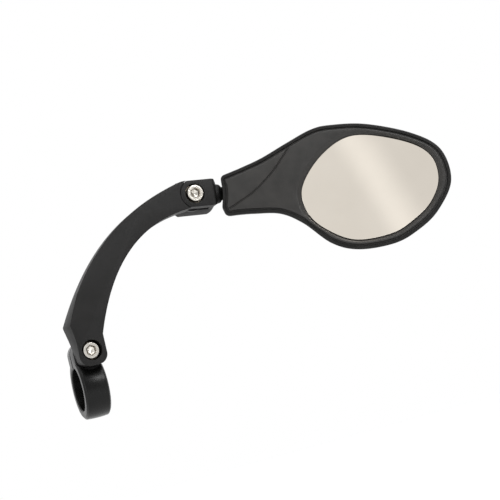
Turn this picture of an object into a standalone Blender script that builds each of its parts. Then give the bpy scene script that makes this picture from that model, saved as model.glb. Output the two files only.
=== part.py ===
# Handlebar mirror: a clamp ring, a curved arm, a forked knuckle and a mirror head on a ball joint.
# The origin is on the axis of the bar's bore, straight below the clamp bolt. +X runs along the bar
# towards the mirror, +Z is up, and the rider looks along +Y.

import math

import bmesh
import bpy
import numpy as np
from mathutils import Matrix

MM = 0.001

# Clearances
GAP = 0.3 * MM  # between pieces that rest on each other
BALL_GAP = 0.25 * MM  # round the ball and round its cup

# Clamp ring
BAR_DIAMETER = 22.2 * MM
RING_WALL = 4.8 * MM
RING_LENGTH = 13.0 * MM
RING_SHIFT = -1.2 * MM  # of the ring and its ears, from the bolt along the bar
RING_SLOPE_WIDTH = 1.6 * MM
RING_SLOPE_DEPTH = 0.9 * MM
BORE_CHAMFER = 0.5 * MM
CLAMP_SLIT = 1.6 * MM
CLAMP_BOLT_OFFSET = 6.4 * MM  # from the bore's wall to the bolt's axis
FRONT_EAR = 9.2 * MM  # front face of the ears, from the bar's middle plane
REAR_EAR = 7.6 * MM

# Screws, washers and nuts
SCREW_DIAMETER = 5.0 * MM
SCREW_HEAD_DIAMETER = 8.5 * MM
SCREW_HEAD_HEIGHT = 5.0 * MM
HEX_KEY = 4.0 * MM
HEX_KEY_DEPTH = 2.5 * MM
WASHER_DIAMETER = 9.8 * MM
WASHER_THICKNESS = 0.8 * MM
NUT_ACROSS_FLATS = 8.0 * MM
NUT_HEIGHT = 4.0 * MM
NUT_POCKET_PLAY = 0.4 * MM
COUNTERBORE_PLAY = 0.6 * MM
FRICTION_WASHER_DIAMETER = 13.0 * MM
FRICTION_WASHER_THICKNESS = 0.6 * MM

# Arm, seen from the front with the clamp bolt at zero
ARM_THICKNESS = 11.0 * MM
ARM_REACH = 72.4 * MM
ARM_RISE = 67.1 * MM
ARM_FOOT_RISE = 10.6 * MM  # where the curved part starts
ARM_FOOT_SHIFT = -1.3 * MM
ARM_HEAD_SHIFT = 0.9 * MM  # the arm's middle line above the pivot
ARM_FOOT_WIDTH = 18.8 * MM
ARM_WAIST_WIDTH = 12.5 * MM
ARM_HEAD_WIDTH = 15.9 * MM
ARM_FOOT_SLOPE = math.radians(65.0)
ARM_HEAD_SLOPE = math.radians(7.2)
ARM_FOOT_PULL = 49.6 * MM
ARM_HEAD_PULL = 25.4 * MM
PRONG_WIDTH = 14.2 * MM
PRONG_DROP = 7.8 * MM
PRONG_CORNER = 5.2 * MM
PRONG_WAIST = 15.2 * MM
PRONG_WAIST_RISE = 5.0 * MM
PRONG_CLEARANCE = 0.8 * MM  # between the swinging prong and the ring
CLAMP_COUNTERBORE = 9.0 * MM
TONGUE_RADIUS = 7.1 * MM
TONGUE_THICKNESS = 3.0 * MM
ARM_EDGE = 0.5 * MM
FACET_START = 0.12  # along the arm's curve
FACET_END = 0.68
FACET_LEAN = math.radians(42)

# Knuckle, along its own axis from the pivot bolt
KNUCKLE_TILT = math.radians(-5.7)
EYE_RADIUS = 7.8 * MM
KNUCKLE_HEIGHT = 14.2 * MM
REAR_EYE_RADIUS = 10.6 * MM
REAR_NOSE_HEIGHT = 16.2 * MM
REAR_CHEEK = 6.4 * MM
NOSE_TO_BALL = 14.2 * MM
NOSE_CORNER = 5.2 * MM
NOSE_ROLL_SHARE = 0.46  # of the thickness, rounds the nose from front to back
SLOT_END = 9.2 * MM
SHOULDER_PLAY = 0.5 * MM
PIVOT_COUNTERBORE = 5.0 * MM
NECK_RADIUS = 5.3 * MM
NECK_TO_BALL = 12.3 * MM
STUD_COLLAR_RADIUS = 4.6 * MM
STUD_SHANK_RADIUS = 3.0 * MM
STUD_SHANK_LENGTH = 4.6 * MM

# Ball joint
BALL_REACH = 27.0 * MM
BALL_RADIUS = 4.5 * MM
STUD_THROAT_RADIUS = 2.7 * MM
CUP_WALL = 0.8 * MM
CUP_MOUTH = math.radians(52)
CUP_HOLE = math.radians(16)
MOUTH_RADIUS = 3.2 * MM
MOUTH_SLOPE = 0.44
HEAD_TURN = math.radians(-20.7)
HEAD_LEAN = math.radians(-2.2)
HEAD_ROLL = math.radians(-14.2)

# Mirror head, from the ball's centre: x along the head, y up, z out of the face
LENS_OFFSET = 69.5 * MM
LENS_RISE = 0.0 * MM
LENS_LENGTH = 72.0 * MM
LENS_HEIGHT = 56.0 * MM
LENS_RECESS = 1.9 * MM
LENS_EDGE = 1.8 * MM
LENS_CURVATURE = 800.0 * MM
LENS_PLAY = 0.3 * MM
# Lens outline in half lengths and half heights, with the width of the rim outside it
LENS_SHAPE = (
    (1.0, 0.14, 6.4 * MM),
    (0.9, 0.58, 5.9 * MM),
    (0.57, 0.845, 5.1 * MM),
    (-0.06, 1.0, 5.6 * MM),
    (-0.45, 0.89, 9.5 * MM),
    (-0.81, 0.46, None),
    (-1.0, -0.08, None),
    (-0.86, -0.575, None),
    (-0.51, -0.885, 3.8 * MM),
    (-0.15, -1.0, 3.6 * MM),
    (0.33, -0.875, 4.2 * MM),
    (0.63, -0.63, 4.9 * MM),
    (0.88, -0.3, 5.4 * MM),
)
# Edges of the head's neck: shares of LENS_OFFSET, then height
NECK_TOP = ((0.555, 30.9 * MM), (0.38, 24.2 * MM), (0.176, 15.7 * MM), (0.006, 10.2 * MM))
NECK_BOTTOM = ((0.006, -12.6 * MM), (0.116, -12.1 * MM), (0.32, -12.2 * MM), (0.495, -17.4 * MM))
END_TOP = (-9.1 * MM, 6.3 * MM)
END_MIDDLE = (-7.8 * MM, -2.9 * MM)
END_BOTTOM = (-8.0 * MM, -13.6 * MM)
END_TOP_RADIUS = 2.6 * MM
END_BOTTOM_RADIUS = 3.2 * MM
SPINE_START = (2.0 * MM, -3.0 * MM)
SHELL_WALL = 2.0 * MM
SHELL_RIM = 8.4 * MM
SHELL_BACK_AT_BALL = 10.2 * MM
SHELL_BACK_AT_LENS = 7.5 * MM
# Dish of the rear shell: share of the depth, then share of the way in to the spine
SHELL_DISH = ((0.0, 0.0), (0.47, 0.0), (0.63, 0.08), (0.80, 0.22), (0.94, 0.42), (1.0, 0.62))
PANEL_FACE = 14.0 * MM
PANEL_THICKNESS = 2.4 * MM
PANEL_BEVEL = 0.7 * MM
LIP_WIDTH = 1.9 * MM
LIP_DROP = 0.5 * MM
LIP_ROUND = 0.6 * MM
GROOVE_WIDTH = 0.8 * MM
GROOVE_DEPTH = 1.0 * MM
BEZEL_WIDTH = 2.4 * MM
# Line cut across the neck's panel: shares of LENS_OFFSET, then height
PANEL_LINE = ((0.392, 21.6 * MM), (0.273, 9.0 * MM), (0.122, -2.3 * MM), (-0.057, -11.1 * MM))
PANEL_LINE_WIDTH = 0.7 * MM
PANEL_LINE_DEPTH = 0.4 * MM
TRAY_FLOOR = 1.6 * MM
TRAY_WALL = 0.8 * MM
PAD_THICKNESS = 0.9 * MM
PAD_BORDER = 6.5 * MM
PAD_INSET = 1.2 * MM
SMALL_SCREW_RADIUS = 1.15 * MM
SMALL_HEAD_RADIUS = 2.3 * MM
SMALL_HEAD_HEIGHT = 0.9 * MM
SMALL_SCREW_LENGTH = 8.5 * MM
BOSS_RADIUS = 3.2 * MM
# Screws under the lens, in half lengths and half heights
PLATE_SCREWS = ((-0.5, 0.0), (0.4, 0.36), (0.3, -0.4))
SOCKET_BLOCK = 13.5 * MM  # from the ball to the end of the socket's block
SOCKET_SCREW_X = 10.2 * MM
SOCKET_SCREW_Y = 6.2 * MM
CAP_HEIGHT = 8.0 * MM
PRESSURE_PAD_RADIUS = 2.4 * MM
PRESSURE_PAD_HEIGHT = 1.6 * MM

# Surfaces: colour, roughness, metallic
BLACK = ((0.034, 0.033, 0.031), 0.5, 0.0)
GLOSS_BLACK = ((0.018, 0.018, 0.018), 0.32, 0.0)
ACETAL = ((0.55, 0.54, 0.5), 0.4, 0.0)
STEEL = ((0.62, 0.6, 0.57), 0.28, 1.0)
SILVER = ((0.86, 0.85, 0.82), 0.03, 1.0)
FOAM = ((0.05, 0.05, 0.05), 0.9, 0.0)
RUBBER = ((0.02, 0.02, 0.02), 0.8, 0.0)

# Sizes that follow from the ones above
BORE = BAR_DIAMETER / 2
CLAMP_BOLT_RISE = BORE + CLAMP_BOLT_OFFSET
EAR_RADIUS = RING_LENGTH / 2
ARM_BACK = FRONT_EAR + GAP
ARM_FRONT = ARM_BACK + ARM_THICKNESS
TONGUE_FRONT = ARM_BACK + TONGUE_THICKNESS
SLOT_FRONT = TONGUE_FRONT + FRICTION_WASHER_THICKNESS + 2 * GAP
SLOT_BACK = ARM_BACK - GAP
KNUCKLE_BACK = SLOT_BACK - REAR_CHEEK
KNUCKLE_NOSE = BALL_REACH - NOSE_TO_BALL
NECK_END = BALL_REACH - NECK_TO_BALL
NOSE_ROLL = NOSE_ROLL_SHARE * (ARM_FRONT - KNUCKLE_BACK)
STUD_DEPTH = (ARM_FRONT + KNUCKLE_BACK) / 2
SCREW_HOLE = SCREW_DIAMETER / 2 + GAP
COUNTERBORE_RADIUS = WASHER_DIAMETER / 2 + COUNTERBORE_PLAY / 2
PRONG_SWEEP = math.hypot(PRONG_WIDTH / 2 - PRONG_CORNER, PRONG_DROP - PRONG_CORNER) + PRONG_CORNER
CUP_INNER = BALL_RADIUS + BALL_GAP
CUP_OUTER = CUP_INNER + CUP_WALL
SOCKET_RADIUS = CUP_OUTER + BALL_GAP
PLATE_BACK = SHELL_RIM + GAP
PANEL_BACK = PANEL_FACE - PANEL_THICKNESS
LIP_TOP = PANEL_FACE - LIP_DROP
LENS_FRONT = PANEL_FACE - LENS_RECESS
LENS_BACK = LENS_FRONT - LENS_EDGE
TRAY_TOP = LENS_BACK - PAD_THICKNESS - 2 * GAP
TRAY_BOTTOM = TRAY_TOP - TRAY_FLOOR
BOSS_TOP = TRAY_BOTTOM - GAP
SMALL_HOLE = SMALL_SCREW_RADIUS + GAP


# Scene helpers

def clear_scene():
    for old in list(bpy.data.objects):
        bpy.data.objects.remove(old, do_unlink=True)


def new_collection(name):
    collection = bpy.data.collections.new(name)
    bpy.context.scene.collection.children.link(collection)
    return collection


def material(name, colour, roughness, metallic):
    made = bpy.data.materials.new(name)
    made.use_nodes = True
    shader = made.node_tree.nodes["Principled BSDF"]
    shader.inputs["Base Color"].default_value = (*colour, 1.0)
    shader.inputs["Roughness"].default_value = roughness
    shader.inputs["Metallic"].default_value = metallic
    return made


def axis_frame(name, matrix, parent=None):
    empty = bpy.data.objects.new(name, None)
    empty.empty_display_size = 0.01
    PARTS.objects.link(empty)
    empty.parent = parent
    empty.matrix_local = matrix
    return empty


def add_object(name, mesh, frame, collection):
    made = bpy.data.objects.new(name, mesh)
    collection.objects.link(made)
    made.parent = frame
    return made


def part(name, mesh, frame, surface):
    made = add_object(name, mesh, frame, PARTS)
    mesh.materials.append(material(name, *surface))
    mesh.shade_smooth()
    mesh.set_sharp_from_angle(angle=math.radians(35))
    return made


def tool(name, mesh, frame):
    made = add_object(name, mesh, frame, CUTTERS)
    made.hide_render = True
    made.display_type = "WIRE"
    return made


def combine(target, other, operation="DIFFERENCE"):
    modifier = target.modifiers.new(other.name, "BOOLEAN")
    modifier.operation = operation
    modifier.solver = "EXACT"
    modifier.object = other


def bevel(target, width, segments=1):
    modifier = target.modifiers.new("edge", "BEVEL")
    modifier.width = width
    modifier.segments = segments
    modifier.limit_method = "ANGLE"
    modifier.angle_limit = math.radians(50)


def turn(target, steps):
    modifier = target.modifiers.new("turn", "SCREW")
    modifier.axis = "Z"
    modifier.steps = steps
    modifier.render_steps = steps
    modifier.use_merge_vertices = True
    modifier.merge_threshold = 0.00001
    modifier.use_smooth_shade = True


# Mesh makers, all in the frame of the piece they belong to

def mesh_from(builder):
    mesh = bpy.data.meshes.new(builder.__name__)
    work = bmesh.new()
    builder(work)
    work.to_mesh(mesh)
    work.free()
    return mesh


def rod(radius, low, high, x=0.0, y=0.0, segments=36, top_radius=None):
    def build(work):
        bmesh.ops.create_cone(
            work, cap_ends=True, segments=segments, radius1=radius,
            radius2=radius if top_radius is None else top_radius, depth=high - low,
            matrix=Matrix.Translation((x, y, (low + high) / 2)))
    return mesh_from(build)


def hexagon(across_flats, low, high):
    return rod(across_flats / math.sqrt(3), low, high, segments=6)


def block(low, high):
    def build(work):
        size = Matrix.Diagonal([b - a for a, b in zip(low, high)] + [1.0])
        centre = Matrix.Translation([(a + b) / 2 for a, b in zip(low, high)])
        bmesh.ops.create_cube(work, size=1.0, matrix=centre @ size)
    return mesh_from(build)


def ball(radius, segments=24):
    def build(work):
        bmesh.ops.create_uvsphere(work, u_segments=segments, v_segments=segments // 2, radius=radius)
    return mesh_from(build)


def profile(points, closed=False):
    # Points are (radius, height), down the outer side; turn() makes the solid.
    mesh = bpy.data.meshes.new("profile")
    count = len(points)
    edges = [(i, (i + 1) % count) for i in range(count if closed else count - 1)]
    mesh.from_pydata([(r, 0.0, z) for r, z in points], edges, [])
    return mesh


def flat(outline, low, high):
    curve = bpy.data.curves.new("outline", "CURVE")
    curve.dimensions = "2D"
    curve.fill_mode = "BOTH"
    curve.extrude = (high - low) / 2
    spline = curve.splines.new("POLY")
    spline.points.add(len(outline) - 1)
    for point, (x, y) in zip(spline.points, outline):
        point.co = (x, y, 0.0, 1.0)
    spline.use_cyclic_u = True
    drawn = bpy.data.objects.new("outline", curve)
    CUTTERS.objects.link(drawn)
    evaluated = drawn.evaluated_get(bpy.context.evaluated_depsgraph_get())
    mesh = bpy.data.meshes.new_from_object(evaluated)
    bpy.data.objects.remove(drawn)
    bpy.data.curves.remove(curve)
    work = bmesh.new()
    work.from_mesh(mesh)
    bmesh.ops.remove_doubles(work, verts=work.verts, dist=0.000001)
    bmesh.ops.recalc_face_normals(work, faces=work.faces)
    bmesh.ops.translate(work, verts=work.verts, vec=(0, 0, (low + high) / 2))
    work.to_mesh(mesh)
    work.free()
    return mesh


def loft(rings):
    # A closed body through rings of equally many points, capped at both ends.
    def build(work):
        rows = [[work.verts.new(point) for point in ring] for ring in rings]
        count = len(rows[0])
        for lower, upper in zip(rows, rows[1:]):
            for i in range(count):
                j = (i + 1) % count
                work.faces.new((lower[i], lower[j], upper[j], upper[i]))
        work.faces.new(rows[0])
        work.faces.new(rows[-1])
        bmesh.ops.recalc_face_normals(work, faces=work.faces)
    return mesh_from(build)


# Plane outlines

def arc(centre, radius, start, end, count):
    angles = np.linspace(start, end, count)
    return np.array(centre) + radius * np.stack([np.cos(angles), np.sin(angles)], axis=1)


def fillet(before, corner, after, radius, count=6):
    before, corner, after = (np.array(p, float) for p in (before, corner, after))
    one = (before - corner) / np.linalg.norm(before - corner)
    two = (after - corner) / np.linalg.norm(after - corner)
    half = math.acos(np.clip(one @ two, -1.0, 1.0)) / 2
    middle = (one + two) / np.linalg.norm(one + two)
    centre = corner + middle * radius / math.sin(half)
    first = corner + one * radius / math.tan(half) - centre
    last = corner + two * radius / math.tan(half) - centre
    start = math.atan2(first[1], first[0])
    swing = math.atan2(first[0] * last[1] - first[1] * last[0], first @ last)
    return arc(centre, radius, start, start + swing, count)


def smooth(points, per_span, closed=False):
    points = np.array(points, float)
    if closed:
        padded = np.vstack([points[-1:], points, points[:2]])
    else:
        padded = np.vstack([2 * points[0] - points[1], points, 2 * points[-1] - points[-2]])
    t = (np.arange(per_span) / per_span)[:, None]
    spans = [
        0.5 * (2 * b + (c - a) * t + (2 * a - 5 * b + 4 * c - d) * t**2 + (3 * b - a - 3 * c + d) * t**3)
        for a, b, c, d in zip(padded, padded[1:], padded[2:], padded[3:])
    ]
    return np.vstack(spans if closed else spans + [points[-1:]])


def outward(points):
    along = np.roll(points, -1, axis=0) - np.roll(points, 1, axis=0)
    along /= np.linalg.norm(along, axis=1)[:, None]
    return np.stack([along[:, 1], -along[:, 0]], axis=1)


def lifted(points, heights):
    return np.column_stack([points, np.broadcast_to(heights, len(points))])


# Screws and washers

def cap_screw(name, frame, seat, end):
    shank = SCREW_DIAMETER / 2
    head = SCREW_HEAD_DIAMETER / 2
    top = seat + SCREW_HEAD_HEIGHT
    round_off = 0.5 * MM
    outline = [(0, top), (head - round_off, top), (head, top - round_off), (head, seat), (shank, seat),
               (shank, end + round_off), (shank - round_off, end), (0, end)]
    screw = part(name, profile(outline), frame, STEEL)
    turn(screw, 28)
    combine(screw, tool(name + "_key", hexagon(HEX_KEY, top - HEX_KEY_DEPTH, top + MM), frame))


def ring_washer(name, frame, outer, low, thickness, surface):
    inner = SCREW_HOLE
    outline = [(inner, low + thickness), (outer, low + thickness), (outer, low), (inner, low)]
    turn(part(name, profile(outline, closed=True), frame, surface), 28)


def hex_nut(name, frame, low):
    nut = part(name, hexagon(NUT_ACROSS_FLATS, low, low + NUT_HEIGHT), frame, STEEL)
    combine(nut, tool(name + "_hole", rod(SCREW_HOLE, low - MM, low + NUT_HEIGHT + MM, segments=28), frame))


def nut_pocket(name, frame, back):
    wide = NUT_ACROSS_FLATS + 2 * NUT_POCKET_PLAY
    return tool(name, hexagon(wide, back - MM, back + NUT_HEIGHT + GAP), frame)


def small_screw(name, frame, x, y, seat):
    head = SMALL_HEAD_RADIUS
    shank = SMALL_SCREW_RADIUS
    top = seat + SMALL_HEAD_HEIGHT
    end = seat - SMALL_SCREW_LENGTH
    outline = [(0, top), (0.7 * head, top), (head, seat + 0.3 * SMALL_HEAD_HEIGHT), (head, seat),
               (shank, seat), (shank, end + MM), (0, end)]
    screw = part(name, profile(outline), frame, STEEL)
    screw.location = (x, y, 0)
    turn(screw, 20)


# Clamp

def clamp_ring(bar, clamp):
    half = RING_LENGTH / 2
    outer = BORE + RING_WALL
    slope = outer - RING_SLOPE_WIDTH
    upper = [(BORE + BORE_CHAMFER, half), (slope, half), (outer, half - RING_SLOPE_DEPTH)]
    bore = [(BORE, BORE_CHAMFER - half), (BORE, half - BORE_CHAMFER)]
    section = upper + [(r, -z) for r, z in reversed(upper)] + bore
    section = [(r, z + RING_SHIFT) for r, z in section]
    ring = part("clamp_ring", profile(section, closed=True), bar, GLOSS_BLACK)
    turn(ring, 60)
    foot = BORE + RING_WALL / 2 - CLAMP_BOLT_RISE
    top = arc((RING_SHIFT, 0), EAR_RADIUS, 0, math.pi, 19)
    tab = np.vstack([[(RING_SHIFT - EAR_RADIUS, foot), (RING_SHIFT + EAR_RADIUS, foot)], top])
    combine(ring, tool("ears", flat(tab, -REAR_EAR, FRONT_EAR), clamp), "UNION")
    deep = ARM_FRONT + 5 * MM
    seat = PRONG_SWEEP + PRONG_CLEARANCE
    combine(ring, tool("prong_seat", rod(seat, FRONT_EAR, deep, segments=56), clamp))
    wide = RING_LENGTH
    slit = block((-wide, -CLAMP_BOLT_OFFSET - MM, -CLAMP_SLIT / 2), (wide, 2 * EAR_RADIUS, CLAMP_SLIT / 2))
    combine(ring, tool("slit", slit, clamp))
    combine(ring, tool("clamp_hole", rod(SCREW_HOLE, -deep, deep, segments=28), clamp))
    combine(ring, nut_pocket("clamp_nut_pocket", clamp, -REAR_EAR))


def clamp_fasteners(clamp):
    floor = ARM_FRONT - CLAMP_COUNTERBORE
    washer = floor + GAP
    seat = washer + WASHER_THICKNESS + GAP
    cap_screw("clamp_bolt", clamp, seat, -REAR_EAR)
    ring_washer("clamp_washer", clamp, WASHER_DIAMETER / 2, washer, WASHER_THICKNESS, STEEL)
    hex_nut("clamp_nut", clamp, -REAR_EAR)


# Arm

def arm_curve(count):
    t = np.linspace(0.0, 1.0, count)[:, None]
    start = np.array([ARM_FOOT_SHIFT, ARM_FOOT_RISE])
    end = np.array([ARM_REACH, ARM_RISE + ARM_HEAD_SHIFT])
    first = start + ARM_FOOT_PULL * np.array([math.cos(ARM_FOOT_SLOPE), math.sin(ARM_FOOT_SLOPE)])
    second = end - ARM_HEAD_PULL * np.array([math.cos(ARM_HEAD_SLOPE), math.sin(ARM_HEAD_SLOPE)])
    line = (1 - t)**3 * start + 3 * (1 - t)**2 * t * first + 3 * (1 - t) * t**2 * second + t**3 * end
    along = (1 - t)**2 * (first - start) + 2 * (1 - t) * t * (second - first) + t**2 * (end - second)
    along /= np.linalg.norm(along, axis=1)[:, None]
    side = np.stack([-along[:, 1], along[:, 0]], axis=1)
    bulge = 2 * ARM_WAIST_WIDTH - (ARM_FOOT_WIDTH + ARM_HEAD_WIDTH) / 2
    half = (ARM_FOOT_WIDTH * (1 - t)**2 + 2 * bulge * t * (1 - t) + ARM_HEAD_WIDTH * t**2) / 2
    return line + side * half, line - side * half


def arm_piece(clamp, pivot):
    count = 28
    outer, inner = arm_curve(count)
    upper = np.array([ARM_REACH, ARM_RISE])
    end = ARM_REACH - EYE_RADIUS / 2  # past this line only the tongue goes on
    outer = outer[outer[:, 0] < end]
    inner = inner[inner[:, 0] < end]
    half = PRONG_WIDTH / 2
    corner = PRONG_CORNER
    foot = np.vstack([
        arc((-half + corner, corner - PRONG_DROP), corner, math.pi, 1.5 * math.pi, 8),
        arc((half - corner, corner - PRONG_DROP), corner, 1.5 * math.pi, 2 * math.pi, 8),
    ])
    start = math.atan2(*(inner[-1] - upper)[::-1])
    stop = math.atan2(*(outer[-1] - upper)[::-1])
    tongue = arc(upper, TONGUE_RADIUS, start, stop, 22)
    side = smooth([outer[0], (-PRONG_WAIST / 2, PRONG_WAIST_RISE), foot[0]], 4)[1:-1]
    outline = np.vstack([foot, inner, tongue, outer[::-1], side])
    arm = part("arm", flat(outline, ARM_BACK, ARM_FRONT), clamp, BLACK)
    bevel(arm, ARM_EDGE)
    facet(arm, clamp, outer, count)
    combine(arm, tool("clamp_counterbore", rod(COUNTERBORE_RADIUS, ARM_FRONT - CLAMP_COUNTERBORE,
                                               ARM_FRONT + MM), clamp))
    combine(arm, tool("arm_clamp_hole", rod(SCREW_HOLE, 0, ARM_FRONT, segments=28), clamp))
    shoulder = rod(EYE_RADIUS + SHOULDER_PLAY, TONGUE_FRONT, ARM_FRONT + MM, segments=56)
    combine(arm, tool("shoulder", shoulder, pivot))
    combine(arm, tool("arm_pivot_hole", rod(SCREW_HOLE, 0, ARM_FRONT, segments=28), pivot))


def facet(arm, clamp, outer, count):
    # One plane cuts the outer front edge, so its crease on the front face is straight.
    start = outer[round(FACET_START * count)]
    end = outer[round(FACET_END * count)]
    chord = end - start
    length = np.linalg.norm(chord)
    deep = ARM_THICKNESS
    wedge = tool("facet", block((-length, 0, -deep), (length, deep, deep)), clamp)
    middle = (start + end) / 2
    wedge.matrix_local = (
        Matrix.Translation((*middle, ARM_FRONT))
        @ Matrix.Rotation(math.atan2(chord[1], chord[0]), 4, "Z")
        @ Matrix.Rotation(FACET_LEAN, 4, "X"))
    combine(arm, wedge)


# Knuckle

def cheek(eye, nose_half):
    flank = min(nose_half, eye)
    lift = math.asin(min(flank / eye, 1.0))
    back = arc((0, 0), eye, math.pi - lift, math.pi + lift, 20)
    low = fillet(back[-1], (KNUCKLE_NOSE, -nose_half), (KNUCKLE_NOSE, nose_half), NOSE_CORNER)
    high = fillet((KNUCKLE_NOSE, -nose_half), (KNUCKLE_NOSE, nose_half), back[0], NOSE_CORNER)
    return np.vstack([back, low, high])


def knuckle_piece(pivot, stud):
    front = cheek(EYE_RADIUS, KNUCKLE_HEIGHT / 2)
    knuckle = part("knuckle", flat(front, SLOT_BACK - MM, ARM_FRONT), pivot, BLACK)
    bevel(knuckle, ARM_EDGE)
    back = cheek(REAR_EYE_RADIUS, REAR_NOSE_HEIGHT / 2)
    rear = tool("rear_cheek", flat(back, KNUCKLE_BACK, SLOT_BACK), pivot)
    bevel(rear, ARM_EDGE)
    combine(knuckle, rear, "UNION")
    # Side view of the nose, whose corners clear the head
    tail = -2 * REAR_EYE_RADIUS
    side = np.vstack([
        [(tail, ARM_FRONT + MM), (tail, KNUCKLE_BACK - MM)],
        [(0, KNUCKLE_BACK - MM)],
        fillet((0, KNUCKLE_BACK), (KNUCKLE_NOSE, KNUCKLE_BACK), (KNUCKLE_NOSE, ARM_FRONT), NOSE_ROLL),
        fillet((KNUCKLE_NOSE, KNUCKLE_BACK), (KNUCKLE_NOSE, ARM_FRONT), (0, ARM_FRONT), NOSE_ROLL),
        [(0, ARM_FRONT + MM)],
    ])
    nose = tool("nose", flat(side, -2 * REAR_EYE_RADIUS, 2 * REAR_EYE_RADIUS), pivot)
    nose.matrix_local = Matrix.Rotation(math.pi / 2, 4, "X")
    combine(knuckle, nose, "INTERSECT")
    neck_low = -BALL_REACH + (SLOT_END + KNUCKLE_NOSE) / 2
    combine(knuckle, tool("neck", rod(NECK_RADIUS, neck_low, NECK_END - BALL_REACH), stud), "UNION")
    slot = block((tail, tail, SLOT_BACK), (SLOT_END, -tail, SLOT_FRONT))
    combine(knuckle, tool("slot", slot, pivot))
    bore = rod(STUD_SHANK_RADIUS + GAP, NECK_END - STUD_SHANK_LENGTH - GAP - BALL_REACH, MM, segments=32)
    combine(knuckle, tool("stud_bore", bore, stud))
    combine(knuckle, tool("pivot_counterbore", rod(COUNTERBORE_RADIUS, ARM_FRONT - PIVOT_COUNTERBORE,
                                                   ARM_FRONT + MM), pivot))
    combine(knuckle, tool("pivot_hole", rod(SCREW_HOLE, KNUCKLE_BACK - MM, ARM_FRONT, segments=28), pivot))
    combine(knuckle, nut_pocket("pivot_nut_pocket", pivot, KNUCKLE_BACK))


def pivot_fasteners(pivot):
    washer = ARM_FRONT - PIVOT_COUNTERBORE + GAP
    cap_screw("pivot_bolt", pivot, washer + WASHER_THICKNESS + GAP, KNUCKLE_BACK)
    ring_washer("pivot_washer", pivot, WASHER_DIAMETER / 2, washer, WASHER_THICKNESS, STEEL)
    hex_nut("pivot_nut", pivot, KNUCKLE_BACK)
    ring_washer("pivot_friction_washer", pivot, FRICTION_WASHER_DIAMETER / 2, TONGUE_FRONT + GAP,
                FRICTION_WASHER_THICKNESS, ACETAL)


# Ball joint

def ball_stud(stud):
    collar = NECK_END + GAP - BALL_REACH
    shank_end = collar - STUD_SHANK_LENGTH
    throat = -math.sqrt(BALL_RADIUS**2 - STUD_THROAT_RADIUS**2)
    slope = throat - collar
    sphere = arc((0, 0), BALL_RADIUS, math.pi / 2, math.atan2(throat, STUD_THROAT_RADIUS), 10)
    middle = (STUD_THROAT_RADIUS + STUD_COLLAR_RADIUS) / 2
    waist = [(STUD_THROAT_RADIUS, throat - 0.2 * slope), (middle, collar + 0.4 * slope),
             (0.93 * STUD_COLLAR_RADIUS, collar + 0.17 * slope), (STUD_COLLAR_RADIUS, collar)]
    shank = [(STUD_SHANK_RADIUS, collar), (STUD_SHANK_RADIUS, shank_end), (0, shank_end)]
    outline = [(0.0, BALL_RADIUS)] + [tuple(p) for p in sphere[1:]] + waist + shank
    turn(part("ball_stud", profile(outline), stud, BLACK), 24)


def socket_cup(stud):
    start = math.pi / 2 - CUP_HOLE
    end = CUP_MOUTH - math.pi / 2
    outer = arc((0, 0), CUP_OUTER, start, end, 9)
    inner = arc((0, 0), CUP_INNER, end, start, 9)
    section = [tuple(p) for p in np.vstack([outer, inner])]
    turn(part("socket_cup", profile(section, closed=True), stud, ACETAL), 24)


# Mirror head

def lens_point(x, y):
    return LENS_OFFSET + x * LENS_LENGTH / 2, LENS_RISE + y * LENS_HEIGHT / 2


def lens_outline(grow=0.0):
    points = [lens_point(x, y) for x, y, _ in LENS_SHAPE]
    smoothed = smooth(points, 4, closed=True)
    return smoothed + outward(smoothed) * grow


def head_outline():
    corners = np.array([lens_point(x, y) for x, y, _ in LENS_SHAPE])
    normals = outward(corners)
    rim = [c + n * shape[2] if shape[2] else None for c, n, shape in zip(corners, normals, LENS_SHAPE)]
    lower = [(x * LENS_OFFSET, y) for x, y in NECK_BOTTOM]
    upper = [(x * LENS_OFFSET, y) for x, y in NECK_TOP]
    sweep = smooth(lower + rim[8:] + rim[:5] + upper, 3)
    top = fillet(sweep[-1], END_TOP, END_MIDDLE, END_TOP_RADIUS)
    bottom = fillet(END_MIDDLE, END_BOTTOM, sweep[0], END_BOTTOM_RADIUS)
    return np.vstack([sweep, top, [END_MIDDLE], bottom])


def spine_points(points):
    start = np.array(SPINE_START)
    line = np.array(lens_point(0, 0)) - start
    share = np.clip((points - start) @ line / (line @ line), 0.0, 1.0)
    return start + share[:, None] * line


def drawn_in(points, width):
    inward = spine_points(points) - points
    inward /= np.linalg.norm(inward, axis=1)[:, None]
    square = np.maximum(-(inward * outward(points)).sum(axis=1), 0.7)
    return points + inward * (width / square)[:, None]


def shell_back(x):
    return SHELL_BACK_AT_BALL + (SHELL_BACK_AT_LENS - SHELL_BACK_AT_BALL) * x / LENS_OFFSET


def dish(outline, inset):
    # Rings from the rim down to the back of the shell, inset from its outer surface
    edge = drawn_in(outline, inset) if inset else outline
    rings = []
    for deep, inwards in SHELL_DISH:
        ring = edge + inwards * (spine_points(edge) - edge)
        rings.append(lifted(ring, SHELL_RIM - deep * (SHELL_RIM + shell_back(ring[:, 0]) - inset)))
    return rings


def screw_places():
    return [lens_point(x, y) for x, y in PLATE_SCREWS]


def socket_screw_places():
    return [(SOCKET_SCREW_X, SOCKET_SCREW_Y), (SOCKET_SCREW_X, -SOCKET_SCREW_Y)]


def mouth(name, stud):
    # The opening widens away from the ball, so that the stud can tilt in it.
    length = BALL_REACH
    wide = MOUTH_RADIUS + MOUTH_SLOPE * length
    return tool(name, rod(wide, -length, 0, top_radius=MOUTH_RADIUS, segments=48), stud)


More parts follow.
